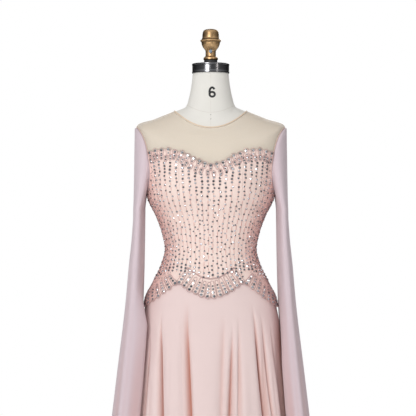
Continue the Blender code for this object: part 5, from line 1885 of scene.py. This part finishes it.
def make_zip():
    """The closed strip in the centre back opening, with its coil and a small pull at the top."""
    z_neck = float(body_sizes(NECKLINE_RING)[5])
    z = np.linspace(z_neck, ZIP_END_Z + 0.0053, 200)
    top = float(table_curve(BACK_TOP, 0.0))
    low = float(table_curve(HIP_LOBE, 0.0))
    rise = prepared((low - 0.02, low - 0.002, top + 0.006, top + 0.03),
                    (0.0, ZIP_RISE, ZIP_RISE, 0.0))(z)
    columns = []
    for x in (-ZIP_HALF, -ZIP_HALF * 0.3, 0.0, ZIP_HALF * 0.3, ZIP_HALF):
        sign = -1.0 if x < 0 else 1.0
        angle = body_angle(np.full(len(z), max(abs(x), 1e-5)), z, True)
        angle = np.where(sign < 0, FULL_TURN - angle, angle)
        ring = body_ring(angle, z)
        turn = HALF_TURN - sign * back_swing(abs(x), z)
        base = np.where((z > ZIP_ON_SKIRT_Z)[:, None], body_point(angle, ring), skirt_point(turn, z))
        groove = ZIP_GROOVE[0] * math.exp(-(x / ZIP_GROOVE[1]) ** 2)
        columns.append((base, body_normal(angle, ring), rise - groove))
    outer, inner = [np.stack([base + normal * (out + extra)[:, None]
                              for base, normal, out in columns], axis=1) for extra in ZIP_DEPTHS]
    placed(shell("back_zip", outer, inner, ZIP_LOOK), "zip", "back_zip")
    middle, normal, out = columns[2]
    make_zip_coil(middle, normal, out)
    make_zip_pull(middle[2] + normal[2] * 0.0040)


def make_zip_coil(middle, normal, out):
    """The coil's small turns down the middle of the strip."""
    run = run_along(middle)
    number = place_number(np.arange(0.004, run[-1] - 0.002, COIL_STEP), run)
    line = np.concatenate([middle, normal, out[:, None]], axis=1)
    every = np.stack([np.interp(number, np.arange(len(run)), values) for values in line.T], axis=-1)
    centre = every[:, :3] + unit(every[:, 3:6]) * (every[:, 6] + COIL_OUT)[:, None]
    axes = [np.broadcast_to(way, centre.shape) for way in (SIDEWAYS, UPWARD, BACKWARD)]
    size = np.broadcast_to(COIL_SIZE, centre.shape)
    placed(mesh_from("zip_coil", *copies(SEED_BEAD, centre, axes, size), ZIP_LOOK), "zip")


def make_zip_pull(top):
    """A small tear shaped pull that hangs from the top of the zip."""
    turn = np.linspace(0, 1, 30)
    long, slim, wide, thick = PULL
    tear = slim + (wide - slim) * np.sin(HALF_TURN * turn ** 1.4) ** 0.8
    centres = top[None, :] - UPWARD[None, :] * long * turn[:, None]
    centres = centres + BACKWARD[None, :] * (0.002 * turn)[:, None]
    across = np.broadcast_to(SIDEWAYS, centres.shape)
    up = np.broadcast_to(BACKWARD, centres.shape)
    pull = tube("zip_pull", centres, across * tear[:, None] / wide, up, wide, thick, ZIP_METAL)
    placed(pull, "zip")


def make_stand(form_low):
    turned("form_neck_cap", rounded(NECK_CAP, 2, 0.88), STEEL_LOOK, "form_cap", ("form_neck_cap",),
           128)
    turned("form_washer", rounded(WASHER), RUBBER_LOOK, "form_washer", ("form_washer",))
    finial = close_set(rounded(FINIAL, 1, 0.88), 0.0009)
    # Patina and painted shade: the finial is darker in its grooves and on its dome.
    patina_and_shade = np.zeros(len(finial))
    for z, wide, share in PATINA_AND_SHADE:
        patina_and_shade = np.maximum(patina_and_shade, share * np.exp(-((finial[:, 1] - z) / wide) ** 2))
    turned("form_finial", finial, BRASS_LOOK, "form_finial", ("form_finial",), 80, None, patina_and_shade)
    foot = BASE[-1][1] + GAP
    pole = [(radius, foot + z) for radius, z in COLLAR]
    pole = pole + [(POLE_RADIUS, form_low - GAP), (0.0, form_low - GAP)]
    turned("form_pole", rounded(pole, 1, 0.98), POLE_LOOK, "form_pole", ("form_pole",))
    turned("form_base", rounded(BASE, 1, 0.93), IRON_LOOK, "form_base", ("form_base",), 128)


# The photo's light and view.

def area_light(name, at, aim, size, watts, colour):
    light = bpy.data.lights.new(name, "AREA")
    light.shape = "RECTANGLE"
    light.size = size[0]
    light.size_y = size[1]
    light.energy = watts
    light.color = colour
    lamp = bpy.data.objects.new(name, light)
    lamp.location = at
    lamp.rotation_euler = (Vector(aim) - Vector(at)).to_track_quat("-Z", "Y").to_euler()
    bpy.context.scene.collection.objects.link(lamp)


WORLD_LIGHT = 0.46
# The room that metal and glass see. Its light goes from the first value to the second between two
# directions, from level to up and from before the dress to behind it.
ROOM_HEIGHT = (0.04, 1.0, 0.0, 0.8)
ROOM_DEPTH = (1.1, 0.22, -0.5, 0.5)
# The lamps. Columns: name, place, what it points at, width and height, watts, colour.
LAMPS = (
    ("key", (-1.25, -3.2, 2.3), (0.0, 0.0, 1.1), (1.1, 1.8), 62.0, (1.0, 1.0, 1.0)),
    ("fill", (2.1, -2.4, 1.6), (0.0, 0.0, 1.0), (0.26, 1.6), 6.0, (1.0, 0.95, 0.90)),
    ("back", (0.4, 2.8, 2.6), (0.0, 0.0, 1.0), (1.6, 1.2), 26.0, (1.0, 1.0, 1.0)),
)
# The floor's rings. Columns: radius, height.
FLOOR = ((0.02, -0.0006), (1.0, -0.0006), (3.0, -0.0006), (4.5, -0.0006), (4.6, -0.0106))
FLOOR_SIDES = 96


def make_world():
    """A white studio, plain to the eye, softer in what it lights. Metal and glass see a room that
    is dim at eye level, bright above and darker behind the dress."""
    world = bpy.data.worlds.new("studio")
    bpy.context.scene.world = world
    world.use_nodes = True
    tree = world.node_tree
    seen = tree.nodes["Background"]
    seen.inputs["Color"].default_value = (1.0, 1.0, 1.0, 1.0)
    seen.inputs["Strength"].default_value = 1.0
    ray = add_node(tree, "ShaderNodeLightPath")
    way = add_node(tree, "ShaderNodeTexCoord").outputs["Generated"]
    way = add_node(tree, "ShaderNodeSeparateXYZ", {"Vector": way})
    room = ramp(tree, way.outputs["Z"], *ROOM_HEIGHT)
    depth = ramp(tree, way.outputs["Y"], *ROOM_DEPTH)
    room = sums(tree, "MULTIPLY", room, depth)
    strength = mixed(tree, ray.outputs["Is Glossy Ray"], rgb((WORLD_LIGHT,) * 3), room)
    lit = add_node(tree, "ShaderNodeBackground",
                   {"Color": (0.97, 0.98, 1.0, 1.0), "Strength": strength})
    both = add_node(tree, "ShaderNodeMixShader",
                    {0: ray.outputs["Is Camera Ray"], 1: lit.outputs[0], 2: seen.outputs[0]})
    tree.links.new(both.outputs[0], tree.nodes["World Output"].inputs["Surface"])


def make_studio():
    camera = bpy.data.cameras.new("camera")
    camera.angle = 2 * math.atan(PHOTO_WIDTH / 2 / -CAMERA_AT[1])
    camera.clip_end = 50.0
    eye = bpy.data.objects.new("camera", camera)
    eye.location = CAMERA_AT
    eye.rotation_euler = (QUARTER_TURN, 0.0, 0.0)
    bpy.context.scene.collection.objects.link(eye)
    bpy.context.scene.camera = eye
    bpy.context.scene.view_settings.view_transform = "Standard"
    make_world()
    for lamp in LAMPS:
        area_light(*lamp)
    turn = np.linspace(0, FULL_TURN, FLOOR_SIDES, endpoint=False)
    grid = [np.stack([radius * np.cos(turn), radius * np.sin(turn), np.full(FLOOR_SIDES, z)], axis=-1)
            for radius, z in FLOOR]
    faces = grid_faces(len(FLOOR), FLOOR_SIDES, True)
    floor = mesh_from("floor", grid, faces, FLOOR_LOOK, True)


# The flat size of each cut piece: width, length, area and how it is held.
CUTS = {
    "centre": (0.190, 0.395, 0.0610, "stretched"),
    "side": (0.200, 0.420, 0.0450, "stretched"),
    "back": (0.270, 0.405, 0.0690, "stretched"),
    "yoke_front": (0.420, 0.200, 0.0540, "stretched"),
    "yoke_back": (0.210, 0.240, 0.0355, "stretched"),
    "skirt_front": (1.150, 1.020, 0.7600, "hung"),
    "skirt_back": (0.600, 1.020, 0.3900, "hung"),
    "sleeve": (0.900, 1.340, 0.6600, "hung"),
}


def declare_sheets():
    for made, kind in sheets:
        wide, tall, area, held = CUTS[kind]


make_studio()
make_bodice()
make_yoke()
make_binding()
make_skirt()
for hand, side in SIDES:
    make_sleeve("sleeve_" + hand, side)
for hand, side in SIDES:
    make_armhole_seam("armhole_seam_" + hand, side)
make_beads()
make_stand(make_form())
make_form_details()
make_number()
make_screw()
make_zip()
declare_sheets()
